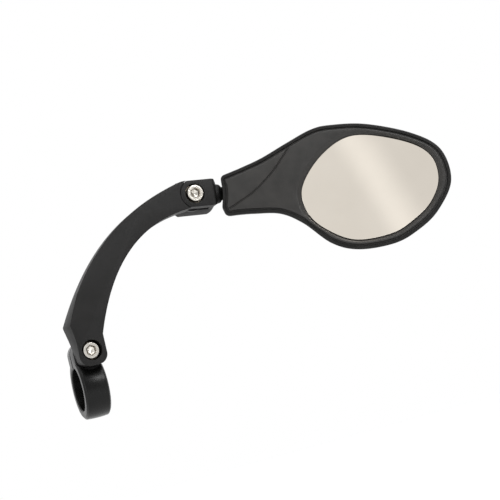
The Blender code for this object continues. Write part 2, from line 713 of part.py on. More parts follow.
def rear_shell(head, stud, outline):
    outside = dish(outline, 0.0)
    inside = dish(outline, SHELL_WALL)
    shell = part("rear_shell", loft(outside[::-1] + inside), head, BLACK)
    core = tool("socket_core", loft(dish(outline, SHELL_WALL / 2)), head)
    far = BALL_REACH
    limits = tool("socket_core_limits", block((-far, -far, -far), (SOCKET_BLOCK, far, -GAP / 2)), head)
    combine(core, limits, "INTERSECT")
    combine(shell, core, "UNION")
    for number, (x, y) in enumerate(screw_places(), 1):
        boss = rod(BOSS_RADIUS, 0.75 * SHELL_WALL - shell_back(x), BOSS_TOP, x, y, 24)
        combine(shell, tool(f"boss_{number}", boss, head), "UNION")
        hole = rod(SMALL_HOLE, BOSS_TOP - SMALL_SCREW_LENGTH, BOSS_TOP + MM, x, y, 16)
        combine(shell, tool(f"boss_hole_{number}", hole, head))
    pad_floor = -SOCKET_RADIUS - PRESSURE_PAD_HEIGHT
    pocket = rod(PRESSURE_PAD_RADIUS + GAP, pad_floor - GAP, 0, segments=28)
    combine(shell, tool("pad_pocket", pocket, head))
    combine(shell, tool("socket_back", ball(SOCKET_RADIUS), head))
    for number, (x, y) in enumerate(socket_screw_places(), 1):
        hole = rod(SMALL_HOLE, CAP_HEIGHT - SMALL_SCREW_LENGTH - MM, MM, x, y, 16)
        combine(shell, tool(f"socket_thread_{number}", hole, head))
    combine(shell, mouth("mouth_shell", stud))


def socket_cap(head, stud, outline):
    edge = drawn_in(outline, SHELL_WALL + GAP)
    cap = part("socket_cap", loft([lifted(edge, GAP / 2), lifted(edge, CAP_HEIGHT)]), head, ACETAL)
    far = BALL_REACH
    limits = tool("socket_cap_limits", block((-far, -far, -far), (SOCKET_BLOCK, far, far)), head)
    combine(cap, limits, "INTERSECT")
    combine(cap, tool("socket_front", ball(SOCKET_RADIUS), head))
    for number, (x, y) in enumerate(socket_screw_places(), 1):
        combine(cap, tool(f"cap_hole_{number}", rod(SMALL_HOLE, -MM, CAP_HEIGHT + MM, x, y, 16), head))
    combine(cap, mouth("mouth_cap", stud))


def panel_line():
    # A V whose tip is one depth below the panel's face, and whose open side is one depth above it
    line = smooth([(x * LENS_OFFSET, y) for x, y in PANEL_LINE], 4)
    along = np.gradient(line, axis=0)
    across = np.stack([-along[:, 1], along[:, 0]], axis=1) / np.linalg.norm(along, axis=1)[:, None]
    high = PANEL_FACE + PANEL_LINE_DEPTH
    left = lifted(line - PANEL_LINE_WIDTH * across, high)
    right = lifted(line + PANEL_LINE_WIDTH * across, high)
    tip = lifted(line, PANEL_FACE - PANEL_LINE_DEPTH)
    return loft(list(zip(left, right, tip)))


def front_plate(head, stud, outline):
    lip_in = LIP_WIDTH
    panel = LIP_WIDTH + GROOVE_WIDTH
    groove = LIP_TOP - GROOVE_DEPTH
    section = (
        (SHELL_WALL, PANEL_BACK), (SHELL_WALL, PLATE_BACK), (0.0, PLATE_BACK), (0.0, LIP_TOP - LIP_ROUND),
        (LIP_ROUND, LIP_TOP), (lip_in, LIP_TOP), (lip_in, groove), (panel, groove),
        (panel, PANEL_FACE - PANEL_BEVEL), (panel + PANEL_BEVEL, PANEL_FACE))
    rings = [lifted(drawn_in(outline, inset) if inset else outline, height) for inset, height in section]
    plate = part("front_plate", loft(rings), head, BLACK)
    wall = lens_outline(TRAY_WALL)
    tray = loft([lifted(wall, TRAY_BOTTOM), lifted(wall, PANEL_FACE - MM)])
    combine(plate, tool("tray", tray, head), "UNION")
    seat = lens_outline()
    bezel = lens_outline(BEZEL_WIDTH)
    pocket = [lifted(seat, TRAY_TOP), lifted(seat, LENS_FRONT), lifted(bezel, PANEL_FACE + 0.1 * MM),
              lifted(bezel, PANEL_FACE + MM)]
    combine(plate, tool("lens_pocket", loft(pocket), head))
    for number, (x, y) in enumerate(screw_places(), 1):
        hole = rod(SMALL_HOLE, TRAY_BOTTOM - MM, TRAY_TOP + MM, x, y, 16)
        combine(plate, tool(f"plate_hole_{number}", hole, head))
    combine(plate, tool("panel_line", panel_line(), head))
    combine(plate, mouth("mouth_plate", stud))


def mirror_lens(head):
    edge = lens_outline(-LENS_PLAY)
    centre = np.array(lens_point(0, 0))
    rings = [lifted(edge, LENS_BACK)]
    for share in (1.0, 0.8, 0.6, 0.4, 0.2):
        ring = centre + share * (edge - centre)
        rise = (((edge - centre)**2).sum(axis=1) - ((ring - centre)**2).sum(axis=1)) / (2 * LENS_CURVATURE)
        rings.append(lifted(ring, LENS_FRONT + rise))
    part("mirror_lens", loft(rings), head, SILVER)


def lens_pad(head):
    low = TRAY_TOP + GAP
    edge = lens_outline(-LENS_PLAY - PAD_INSET)
    pad = part("lens_pad", loft([lifted(edge, low), lifted(edge, low + PAD_THICKNESS)]), head, FOAM)
    window = lens_outline(-PAD_BORDER)
    combine(pad, tool("pad_window", loft([lifted(window, low - MM), lifted(window, low + 2 * MM)]), head))


def head_fasteners(head):
    for number, (x, y) in enumerate(screw_places(), 1):
        small_screw(f"plate_screw_{number}", head, x, y, TRAY_TOP + GAP)
    for number, (x, y) in enumerate(socket_screw_places(), 1):
        small_screw(f"socket_screw_{number}", head, x, y, CAP_HEIGHT + GAP)
    low = -SOCKET_RADIUS - PRESSURE_PAD_HEIGHT
    pad = rod(PRESSURE_PAD_RADIUS, low, low + PRESSURE_PAD_HEIGHT, segments=28)
    part("pressure_pad", pad, head, RUBBER)


def build():
    bar = axis_frame("bar_axis", Matrix.Rotation(math.pi / 2, 4, "Y"))
    clamp = axis_frame("clamp_axis", Matrix.Translation((0, 0, CLAMP_BOLT_RISE))
                       @ Matrix.Rotation(math.pi / 2, 4, "X"))
    pivot = axis_frame("pivot_axis", Matrix.Translation((ARM_REACH, ARM_RISE, 0))
                       @ Matrix.Rotation(KNUCKLE_TILT, 4, "Z"), clamp)
    stud = axis_frame("stud_axis", Matrix.Translation((BALL_REACH, 0, STUD_DEPTH))
                      @ Matrix.Rotation(math.pi / 2, 4, "Y"), pivot)
    head = axis_frame("ball_centre", Matrix.Translation((BALL_REACH, 0, STUD_DEPTH))
                      @ Matrix.Rotation(-KNUCKLE_TILT, 4, "Z") @ Matrix.Rotation(HEAD_TURN, 4, "Y")
                      @ Matrix.Rotation(HEAD_LEAN, 4, "X") @ Matrix.Rotation(HEAD_ROLL, 4, "Z"), pivot)
    outline = head_outline()
    clamp_ring(bar, clamp)
    clamp_fasteners(clamp)
    arm_piece(clamp, pivot)
    knuckle_piece(pivot, stud)
    pivot_fasteners(pivot)
    ball_stud(stud)
    socket_cup(stud)
    rear_shell(head, stud, outline)
    socket_cap(head, stud, outline)
    front_plate(head, stud, outline)
    mirror_lens(head)
    lens_pad(head)
    head_fasteners(head)


clear_scene()
PARTS = new_collection("bar_mirror")
CUTTERS = new_collection("cutters")
build()
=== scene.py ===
import math

import bmesh
import bpy
import numpy as np
from mathutils import Matrix, Vector


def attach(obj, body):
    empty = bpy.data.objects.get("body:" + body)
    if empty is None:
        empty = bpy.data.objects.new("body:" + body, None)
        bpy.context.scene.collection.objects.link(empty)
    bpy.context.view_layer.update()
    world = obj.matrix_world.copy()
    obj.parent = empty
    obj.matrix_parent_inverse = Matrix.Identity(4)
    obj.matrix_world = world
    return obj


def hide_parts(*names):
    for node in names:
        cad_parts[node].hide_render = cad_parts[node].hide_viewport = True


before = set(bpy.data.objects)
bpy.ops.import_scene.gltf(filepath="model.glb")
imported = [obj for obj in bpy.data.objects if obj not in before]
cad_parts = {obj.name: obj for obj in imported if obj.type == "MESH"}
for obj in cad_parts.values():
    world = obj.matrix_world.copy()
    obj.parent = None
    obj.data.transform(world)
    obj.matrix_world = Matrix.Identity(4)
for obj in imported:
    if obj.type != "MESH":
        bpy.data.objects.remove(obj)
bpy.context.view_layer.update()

scene = bpy.context.scene
print("frame loaded:", len(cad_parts), "nodes")

mm = 0.001
# in mm: how far a cutter stands out of a face, where it ends if it runs right out of a piece, and
# half its width if it spans one
past, farOff, wideOff = 1.0, 30.0, 25.0
hair = 0.02  # mm that keep two faces from coinciding
flatEnd = 0.05  # mm that a flat stops short of a rounding, so that each keeps its own shading

# Where the joints stand, in mm and degrees; every piece is drawn in the frame of its joint
jointPlan = {
    "boltRise": 17.5,  # clamp bolt above the bar's axis
    "armReach": 72.4,  # pivot bolt from the clamp bolt
    "armRise": 67.1,
    "armFaces": (9.5, 20.5),  # back and front of the arm, towards the rider from the bar's axis
    "knuckleTilt": -5.7,
    "ballPlace": (27.0, 0.0, 11.65),  # ball from the pivot
    "headTurn": -20.7,
    "headLean": -2.2,
    "headRoll": -14.2,
}


def placed(shift, *turns):
    made = Matrix.Translation([s * mm for s in shift])
    for axis, angle in turns:
        made = made @ Matrix.Rotation(math.radians(angle), 4, axis)
    return made


barFrame = placed((0, 0, 0), ("Y", 90))  # z along the handlebar
clampFrame = placed((0, 0, jointPlan["boltRise"]), ("X", 90))  # z towards the rider
pivotFrame = clampFrame @ placed(
    (jointPlan["armReach"], jointPlan["armRise"], 0), ("Z", jointPlan["knuckleTilt"]))
studFrame = pivotFrame @ placed(jointPlan["ballPlace"], ("Y", 90))  # z along the stud
headFrame = pivotFrame @ placed(
    jointPlan["ballPlace"], ("Z", -jointPlan["knuckleTilt"]), ("Y", jointPlan["headTurn"]),
    ("X", jointPlan["headLean"]), ("Z", jointPlan["headRoll"]))
armBack, armFront = jointPlan["armFaces"]


# Mesh tools

def linked(name, data):
    made = bpy.data.objects.new(name, data)
    scene.collection.objects.link(made)
    return made


def addPiece(name, points, faces, at):
    stand = np.array(at)
    world = points.reshape(-1, 3) * mm @ stand[:3, :3].T + stand[:3, 3]
    mesh = bpy.data.meshes.new(name)
    mesh.from_pydata(world.tolist(), [], faces)
    work = bmesh.new()
    work.from_mesh(mesh)
    bmesh.ops.recalc_face_normals(work, faces=work.faces)
    work.to_mesh(mesh)
    work.free()
    return linked(name, mesh)


def ringSolid(name, rings, at, loop=False):
    # ring after ring of points: quads join neighbours, and the two ends are capped unless the
    # last ring runs on into the first
    rows, columns = rings.shape[:2]
    corner = np.arange(rows * columns).reshape(rows, columns)
    if loop:
        corner = np.vstack([corner, corner[:1]])
    beside = np.roll(corner, -1, axis=1)
    quads = np.stack([corner[:-1], beside[:-1], beside[1:], corner[1:]], axis=-1)
    faces = quads.reshape(-1, 4).tolist()
    if not loop:
        faces += [corner[0].tolist(), corner[-1].tolist()]
    return addPiece(name, rings, faces, at)


def turned(name, profile, at, steps=96, loop=False):
    # each point of the profile, a radius and a height, goes once round the z axis
    profile = np.array(profile, float)
    angle = np.linspace(0, 2 * math.pi, steps, endpoint=False)
    rings = np.stack([
        profile[:, :1] * np.cos(angle), profile[:, :1] * np.sin(angle),
        np.repeat(profile[:, 1:], steps, axis=1)], axis=-1)
    return ringSolid(name, rings, at, loop)


def lifted(outline, height):
    return np.column_stack([outline, np.broadcast_to(height, len(outline))])


def unit(ways):
    return ways / np.linalg.norm(ways, axis=1)[:, None]


def outward(points):
    # unit normals of a closed line that runs anticlockwise
    along = unit(np.roll(points, -1, axis=0) - np.roll(points, 1, axis=0))
    return np.stack([along[:, 1], -along[:, 0]], axis=1)


def settle(piece):
    shaped = piece.evaluated_get(bpy.context.evaluated_depsgraph_get())
    mesh = bpy.data.meshes.new_from_object(shaped)
    piece.modifiers.clear()
    piece.data = mesh


def slab(name, outline, low, high, edge, at, top=None):
    # the outline carried from low to high, there as the top outline if one is given; then the
    # rims, which turn by more than the limit, are rounded
    top = outline if top is None else top
    piece = ringSolid(name, np.stack([lifted(outline, low), lifted(top, high)]), at)
    rim = piece.modifiers.new("rim", "BEVEL")
    rim.width = edge * mm
    rim.segments = 4
    rim.limit_method = "ANGLE"
    rim.angle_limit = math.radians(50)
    settle(piece)
    return piece


def rod(name, radius, low, high, at, steps=72, endRadius=None):
    endRadius = radius if endRadius is None else endRadius
    return turned(name, [(radius, low), (endRadius, high)], at, steps)


def block(name, low, high, at):
    (a, b, c), (d, e, f) = low, high
    rings = np.array([[(a, b, h), (d, b, h), (d, e, h), (a, e, h)] for h in (c, f)], float)
    return ringSolid(name, rings, at)


def sphere(name, radius, at):
    # from pole to pole, but for a small gap in radians at each, which a cap closes
    end = math.pi / 2 - 0.05
    angle = np.linspace(end, -end, 40)
    profile = np.column_stack([radius * np.cos(angle), radius * np.sin(angle)])
    return turned(name, profile, at, steps=64)


def combine(piece, other, operation="DIFFERENCE"):
    step = piece.modifiers.new(operation, "BOOLEAN")
    step.operation = operation
    step.solver = "EXACT"
    step.object = other
    settle(piece)
    bpy.data.objects.remove(other)


def drilled(piece, radius, low, at, steps=72):
    combine(piece, rod("hole", radius, low, farOff, at, steps))


# Plane curves

def arc(centre, radius, start, end, count):
    angle = np.linspace(start, end, count)
    return np.array(centre) + radius * np.stack([np.cos(angle), np.sin(angle)], axis=1)


def fillet(before, corner, after, radius, count):
    # the arc that touches both sides of a corner
    before, corner, after = (np.array(p, float) for p in (before, corner, after))
    one = (before - corner) / np.linalg.norm(before - corner)
    two = (after - corner) / np.linalg.norm(after - corner)
    half = math.acos(np.clip(one @ two, -1, 1)) / 2
    middle = (one + two) / np.linalg.norm(one + two)
    centre = corner + middle * radius / math.sin(half)
    first = corner + one * radius / math.tan(half) - centre
    last = corner + two * radius / math.tan(half) - centre
    start = math.atan2(first[1], first[0])
    swing = math.atan2(first[0] * last[1] - first[1] * last[0], first @ last)
    return arc(centre, radius, start, start + swing, count)


def rounded(corners, count):
    # each corner is a point and a radius; one with no radius stays a point
    spots = np.array([c[:2] for c in corners], float)
    bits = []
    for i, (x, y, radius) in enumerate(corners):
        before, after = spots[i - 1], spots[(i + 1) % len(spots)]
        bits.append(fillet(before, (x, y), after, radius, count) if radius else spots[i:i + 1])
    return np.vstack(bits)


def smooth(points, perSpan, closed=False):
    # a Catmull-Rom curve through the points, perSpan steps between each two
    points = np.array(points, float)
    if closed:
        padded = np.vstack([points[-1:], points, points[:2]])
    else:
        padded = np.vstack([2 * points[0] - points[1], points, 2 * points[-1] - points[-2]])
    t = (np.arange(perSpan) / perSpan)[None, :, None]
    a, b, c, d = (padded[i:len(padded) - 3 + i, None] for i in range(4))
    line = 0.5 * (2 * b + (c - a) * t + (2 * a - 5 * b + 4 * c - d) * t**2
                  + (3 * b - a - 3 * c + d) * t**3)
    line = line.reshape(-1, points.shape[1])
    return line if closed else np.vstack([line, points[-1:]])


def evenly(points, count):
    # the closed line cut again into equal lengths
    closed = np.vstack([points, points[:1]])
    length = np.append(0, np.cumsum(np.linalg.norm(np.diff(closed, axis=0), axis=1)))
    at = np.linspace(0, length[-1], count, endpoint=False)
    return np.column_stack([np.interp(at, length, closed[:, i]) for i in range(points.shape[1])])


# Material tools

def hexColour(text):
    # from sRGB to linear light: a straight start, then a power
    part = [int(text[i:i + 2], 16) / 255 for i in (1, 3, 5)]
    light = [c / 12.92 if c <= 0.04045 else ((c + 0.055) / 1.055) ** 2.4 for c in part]
    return (*light, 1.0)


def addNode(tree, kind, inputs, **settings):
    node = tree.nodes.new("ShaderNode" + kind)
    for key, value in settings.items():
        setattr(node, key, value)
    for key, value in inputs.items():
        if isinstance(value, bpy.types.NodeSocket):
            tree.links.new(value, node.inputs[key])
        else:
            node.inputs[key].default_value = value
    return node


def newMaterial(name, **sockets):
    made = bpy.data.materials.new(name)
    made.use_nodes = True
    tree = made.node_tree
    shader = tree.nodes["Principled BSDF"]
    for key, value in sockets.items():
        shader.inputs[key.replace("_", " ")].default_value = value
    where = addNode(tree, "TexCoord", {}).outputs["Object"]
    return made, tree, shader, where


def finished(tree, shader, factor, stops, sheen=None, bump=None):
    # the colour follows the factor from stop to stop, each a place and a tone; sheen and bump,
    # where there are any, drive the roughness and the normal
    ramp = addNode(tree, "ValToRGB", {"Fac": factor})
    for stop, (place, tone) in zip(ramp.color_ramp.elements, stops):
        stop.position = place
        stop.color = hexColour(tone)
    tree.links.new(ramp.outputs["Color"], shader.inputs["Base Color"])
    if sheen:
        tree.links.new(sheen.outputs["Result"], shader.inputs["Roughness"])
    if bump:
        tree.links.new(bump.outputs["Normal"], shader.inputs["Normal"])


def perMm(size):
    return 1 / (size * mm)  # texture scale that gives features about this many mm wide


def mouldedPlastic(name, dark, light, roughness, grain, patch, depth, specular=0.5):
    # from a spark-eroded mould: broad cloudy patches from the flow of the melt, a fine grain that
    # breaks up the gloss, and a roughness that wanders a little
    made, tree, shader, where = newMaterial(name, IOR=1.53, Specular_IOR_Level=specular)
    cloud = addNode(tree, "TexNoise", {
        "Vector": where, "Scale": perMm(patch), "Detail": 4.0, "Roughness": 0.55})
    speck = addNode(tree, "TexNoise", {
        "Vector": where, "Scale": perMm(grain), "Detail": 2.0, "Roughness": 0.6})
    both = addNode(tree, "Math", {
        0: speck.outputs["Fac"], 1: 0.55, 2: cloud.outputs["Fac"]}, operation="MULTIPLY_ADD")
    sheen = addNode(tree, "MapRange", {
        "Value": both.outputs[0], "From Min": 0.5, "From Max": 1.1,
        "To Min": roughness - 0.06, "To Max": roughness + 0.08})
    bump = addNode(tree, "Bump", {
        "Height": speck.outputs["Fac"], "Strength": 0.35, "Distance": depth * mm})
    finished(tree, shader, both.outputs[0], ((0.55, dark), (1.0, light)), sheen, bump)
    return made


def turnedSteel(name, at, dark, light, roughness):
    # off a lathe: rings of fine tool marks round the frame's z axis, and faint cloudy stains
    made, tree, shader, where = newMaterial(name, Metallic=1.0)
    seat = at.inverted()
    centred = addNode(tree, "Mapping", {
        "Vector": where, "Location": seat.to_translation(), "Rotation": seat.to_euler()})
    waveFactor = 20  # radians that the wave texture turns in one unit of scaled length
    # real tool marks are about 0.05 mm apart: drawn far coarser, 0.45 mm to the radian, to show
    marks = addNode(tree, "TexWave", {
        "Vector": centred.outputs["Vector"], "Scale": perMm(0.45) / waveFactor, "Distortion": 0.6,
        "Detail": 2.0, "Detail Scale": 3.0}, wave_type="RINGS", rings_direction="Z")
    stain = addNode(tree, "TexNoise", {
        "Vector": where, "Scale": perMm(2.2), "Detail": 5.0})
    sheen = addNode(tree, "MapRange", {
        "Value": marks.outputs["Fac"], "To Min": roughness - 0.05, "To Max": roughness + 0.08})
    bump = addNode(tree, "Bump", {
        "Height": marks.outputs["Fac"], "Strength": 0.12, "Distance": 0.02 * mm})
    finished(tree, shader, stain.outputs["Fac"], ((0.3, dark), (0.7, light)), sheen, bump)
    return made


def silveredLens(name, dark, light):
    # silvered behind: an almost even mirror, softened by a faint haze of wiped dust
    made, tree, shader, where = newMaterial(name, Metallic=1.0)
    haze = addNode(tree, "TexNoise", {
        "Vector": where, "Scale": perMm(26), "Detail": 3.0, "Roughness": 0.5})
    wiped = addNode(tree, "TexNoise", {
        "Vector": where, "Scale": perMm(9), "Detail": 6.0, "Distortion": 1.5})
    sheen = addNode(tree, "MapRange", {
        "Value": wiped.outputs["Fac"], "From Min": 0.35, "From Max": 0.7,
        "To Min": 0.02, "To Max": 0.05})
    finished(tree, shader, haze.outputs["Fac"], ((0.3, dark), (0.75, light)), sheen)
    return made


def foamTape(name, middleTone, edgeTone):
    # closed-cell foam: rounded cells about half a millimetre wide, dull all over
    made, tree, shader, where = newMaterial(name, Roughness=0.92)
    cells = addNode(tree, "TexVoronoi", {"Vector": where, "Scale": perMm(0.5)})
    depth = cells.outputs["Distance"]
    bump = addNode(tree, "Bump", {
        "Height": depth, "Strength": 0.5, "Distance": 0.1 * mm})
    finished(tree, shader, depth, ((0.0, middleTone), (1.0, edgeTone)), bump=bump)
    return made


# arm, knuckle and stud: a dry black, soft grey where a lamp grazes it
blackNylon = mouldedPlastic(
    "glassFilledNylonMoulded", "#0D0D0C", "#161515", roughness=0.5, grain=0.34, patch=9.0,
    depth=0.05, specular=0.19)
# head: a warmer charcoal with a grain that can just be seen
blackAbs = mouldedPlastic(
    "absMouldedFineGrain", "#171614", "#242220", roughness=0.46, grain=0.4, patch=7.0,
    depth=0.06, specular=0.37)
# clamp ring: deep black with a clear narrow highlight
clampNylon = mouldedPlastic(
    "nylonMouldedPolished", "#080808", "#0E0E0D", roughness=0.27, grain=0.7, patch=8.0,
    depth=0.006, specular=0.16)
# lip of the front plate: smoother, and painted darker as the shade of the groove, so that the rim
# reads as a line
plainAbs = mouldedPlastic(
    "absMouldedPlainShaded", "#0D0D0C", "#151413", roughness=0.4, grain=0.6, patch=7.0,
    depth=0.03, specular=0.2)
# cup, cap and friction washer: milky and waxy
paleAcetal = mouldedPlastic(
    "acetalMouldedNatural", "#C9C6BC", "#DAD8D0", roughness=0.38, grain=0.5, patch=6.0, depth=0.03)
# pressure pad: flat black without a highlight
padRubber = mouldedPlastic(
    "rubberMouldedBlack", "#141414", "#222222", roughness=0.8, grain=0.4, patch=4.0, depth=0.06)
# pad under the lens: dark and spongy
padFoam = foamTape("foamTapeClosedCell", "#34322F", "#1C1B1A")
# lens: a slightly warm mirror
mirrorSilver = silveredLens("acrylicSilvered", "#EAE2D6", "#EFE7DB")
# clamp bolt: bright, with rings round its head
clampSteel = turnedSteel(
    "stainlessSteelTurnedClamp", clampFrame, "#CECAC2", "#DEDAD2", roughness=0.2)
# pivot bolt: the same, a shade darker because it faces a lamp
pivotSteel = turnedSteel(
    "stainlessSteelTurnedPivot", pivotFrame, "#BDB9B1", "#CDC9C1", roughness=0.2)
# screws inside the head: plain satin grey
headSteel = turnedSteel("stainlessSteelRolled", headFrame, "#A9A5A0", "#C4C0BA", roughness=0.35)
# key sockets and washers: a dull brownish grey, painted shade for the shadow in a hole and round
# the bolt heads
dullPaintedShadeSteel = turnedSteel(
    "stainlessSteelDullPaintedShade", headFrame, "#6E665B", "#8C8478", roughness=0.5)
print("materials made")


def dressed(piece, body, slotName, surface, *nodes, sharp=32):
    if not piece.data.materials:
        piece.data.materials.append(surface)
    piece.data.shade_smooth()
    piece.data.set_sharp_from_angle(angle=math.radians(sharp))
    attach(piece, body)
    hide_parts(*nodes)


# Screws and nuts, and the holes that take them
screwPlan = {
    "shank": 2.5, "hole": 2.8,
    "head": 4.25, "headHeight": 5.0, "headEdge": 0.45, "seatEdge": 0.3, "tipEdge": 0.6,
    "capRadii": (0.4, 0.3),  # flat caps that close the turned profile at the head and at the tip
    "key": 4.0, "keyDepth": 2.5,
    # share of the hexagon, and height from the top: drill point, walls, bevelled edge and past it
    "keySection": ((0.1, -3.4), (1.0, -2.5), (1.0, -0.4), (1.25, 0.0), (1.25, 0.4)),
    # faces picked by these two take the socket's painted shade
    "keyReach": 0.65,  # faces within this many flats of the axis belong to the socket
    "keyTilt": 0.9,  # and those that look along the axis more than this aren't its walls
    "nutFlats": 8.0, "nutHeight": 4.0, "nutBevel": 0.6, "nutFace": 0.1, "nutCone": 1.9,
    "nutPlay": 0.4, "pocketPlay": 0.3,
    "counterbore": 5.2,
    "clampSink": 9.0,  # depths of the two counterbores, and the washer that lies in each
    "pivotSink": 5.0,
    "washer": 1.4,
    "columns": 120,
}


def hexagon(flats, most=math.inf):
    # its radius at each angle is half the flats over the cosine of the angle from the middle of
    # its side, and no more than the given one
    angle = np.linspace(0, 2 * math.pi, screwPlan["columns"], endpoint=False)
    radius = flats / 2 / np.cos((angle + math.pi / 6) % (math.pi / 3) - math.pi / 6)
    radius = np.minimum(radius, most)
    return np.stack([radius * np.cos(angle), radius * np.sin(angle)], axis=1)


def hexRod(name, flats, low, high, at, bevel=0.0):
    # with a bevel, cones cut the corners at both ends
    rings = [lifted(hexagon(flats), height) for height in (low, high)]
    if bevel:
        face, slope = flats / 2 - screwPlan["nutFace"], screwPlan["nutCone"]
        rings = [
            lifted(hexagon(flats, face + slope * min(height - low, high - height)), height)
            for height in (low, low + hair, low + bevel, high - bevel, high - hair, high)]
    return ringSolid(name, np.stack(rings), at)


def capScrew(name, seat, end, at, steel):
    # from the middle of its socket head, over the rounded edge, to the bevelled tip
    plan = screwPlan
    top = seat + plan["headHeight"]
    head, shank, edge, tip = plan["head"], plan["shank"], plan["headEdge"], plan["tipEdge"]
    crown = arc((head - edge, top - edge), edge, math.pi / 2, 0, 7)
    profile = np.vstack([
        [(plan["capRadii"][0], top), (head - edge - flatEnd, top)], crown,
        [(head, seat + plan["seatEdge"]), (head - plan["seatEdge"], seat), (shank, seat),
         (shank, end + tip), (shank - tip, end), (plan["capRadii"][1], end)]])
    screw = turned(name, profile, at)
    key = hexagon(plan["key"])
    rings = [lifted(share * key, top + height) for share, height in plan["keySection"]]
    combine(screw, ringSolid("socket", np.stack(rings), at))
    # the broached walls of the socket are rougher, and painted darker as the shade in the hole:
    # faces near the axis that don't look along it
    local = np.array(at.inverted())
    mesh = screw.data
    middle, facing = (np.empty(len(mesh.polygons) * 3) for _ in range(2))
    mesh.polygons.foreach_get("center", middle)
    mesh.polygons.foreach_get("normal", facing)
    middle = (middle.reshape(-1, 3) @ local[:3, :3].T + local[:3, 3]) / mm
    along = facing.reshape(-1, 3) @ local[2, :3]
    wall = np.hypot(middle[:, 0], middle[:, 1]) < plan["keyReach"] * plan["key"]
    wall &= (middle[:, 2] > top - plan["keyDepth"]) & (along < plan["keyTilt"])
    for surface in (steel, dullPaintedShadeSteel):
        mesh.materials.append(surface)
    mesh.polygons.foreach_set("material_index", wall.astype(np.int32))
    return screw


def hexNut(name, low, at):
    plan = screwPlan
    high = low + plan["nutHeight"]
    nut = hexRod(name, plan["nutFlats"], low, high, at, plan["nutBevel"])
    combine(nut, rod("bore", plan["hole"], low - past, high + past, at))
    return nut


def nutPocket(low, at):
    plan = screwPlan
    flats = plan["nutFlats"] + 2 * plan["nutPlay"]
    high = low + plan["nutHeight"] + plan["pocketPlay"]
    return hexRod("pocket", flats, low - past, high, at)


# Clamp ring round the bar, with the two ears that the bolt draws together
clampPlan = {
    # corners of the ring's section from its end to its outer face: radius, height, rounding
    "corners": ((11.6, 6.5, 0.25), (14.3, 6.5, 0.5), (15.6, 5.6, 0.6)),
    "bore": (11.1, 6.0, 0.2),
    "outer": 15.9,
    "crown": 0.3,
    "crownSpan": 0.8,  # share of the outer face that isn't left to the rounded shoulders
    "shift": -1.2,
    "slit": 1.6, "slitReach": 20.0, "slitFoot": -9.0,
    "earRadius": 6.5, "earRoot": 12.5, "frontEar": 9.2, "rearEar": 7.6,
    "seat": 9.22,
    "edge": 0.5,
}
plan = clampPlan
upper = [*plan["corners"]]
flat = upper[-1][1]
# the outer face is crowned by a square curve across its width
crowned = [(plan["outer"] - plan["crown"] * s * s, s * flat, 0)
           for s in np.linspace(plan["crownSpan"], -plan["crownSpan"], 13)]
lower = [(radius, -height, bend) for radius, height, bend in (*upper[::-1], plan["bore"])]
section = rounded([*upper, *crowned, *lower, plan["bore"]], 5)
section[:, 1] += plan["shift"]
clampRing = turned("clampRing", section, barFrame, steps=160, loop=True)
half = plan["earRadius"]
root = plan["earRoot"] - jointPlan["boltRise"]
ear = np.vstack([[(-half, root), (half, root)], arc((0, 0), half, 0, math.pi, 40)])
ear[:, 0] += plan["shift"]
ears = slab("ears", ear, -plan["rearEar"], plan["frontEar"], plan["edge"], clampFrame)
combine(clampRing, ears, "UNION")
drilled(clampRing, plan["seat"], plan["frontEar"], clampFrame, steps=120)  # seat of the prong
combine(clampRing, block(
    "slit", (-plan["slitReach"], plan["slitFoot"], -plan["slit"] / 2),
    (plan["slitReach"], plan["slitReach"], plan["slit"] / 2), clampFrame))
drilled(clampRing, screwPlan["hole"], -farOff, clampFrame)
combine(clampRing, nutPocket(-plan["rearEar"], clampFrame))
dressed(clampRing, "clamp", "clamp_nylon", clampNylon, "clamp_ring")

clampFloor = armFront - screwPlan["clampSink"]  # of the counterbore in the arm
clampBolt = capScrew(
    "clampBolt", clampFloor + screwPlan["washer"], -plan["rearEar"], clampFrame, clampSteel)
dressed(clampBolt, "clamp", "stainless_steel", clampSteel, "clamp_bolt")
clampNut = hexNut("clampNut", -plan["rearEar"], clampFrame)
dressed(clampNut, "clamp", "stainless_steel", clampSteel, "clamp_nut")
print("clamp made")

# Curved arm: a flat bow with a prong below and a thin round tongue above
armPlan = {
    "footRise": 10.6, "footShift": -1.3, "footWidth": 18.8, "footSlope": 65.0, "footPull": 49.6,
    "waistWidth": 12.5,
    "headShift": 0.9, "headWidth": 15.9, "headSlope": 7.2, "headPull": 25.4,
    "prongWidth": 14.2, "prongDrop": 7.8, "prongCorner": 5.2, "prongWaist": (-8.1, 5.0),
    "tongueRadius": 7.1, "tongueFront": 12.5, "tongueBelly": 0.8,
    "shoulder": 8.0,
    "edgeEnds": (2.6, 3.9),  # where the outer and inner edge stop, short of the pivot
    "crest": 7.1,
    "bend": 3.0,
    "edge": 0.7,
    "chinDraft": 1.7,
    "chinDrop": 0.7,
    "facet": (0.12, 0.68),  # ends of the facet along the bow, and its slope at each in degrees
    "facetLean": (34.0, 9.0),
    "bladeSpare": 0.06,  # share of its length that the blade runs on beyond both ends
    # corners of the blade: out from the crease, up from the face, and whether the slope counts
    "blade": ((-0.4, 0, 1), (12.0, 0, 1), (12.0, 9.0, 0), (-0.4, 9.0, 0)),
}


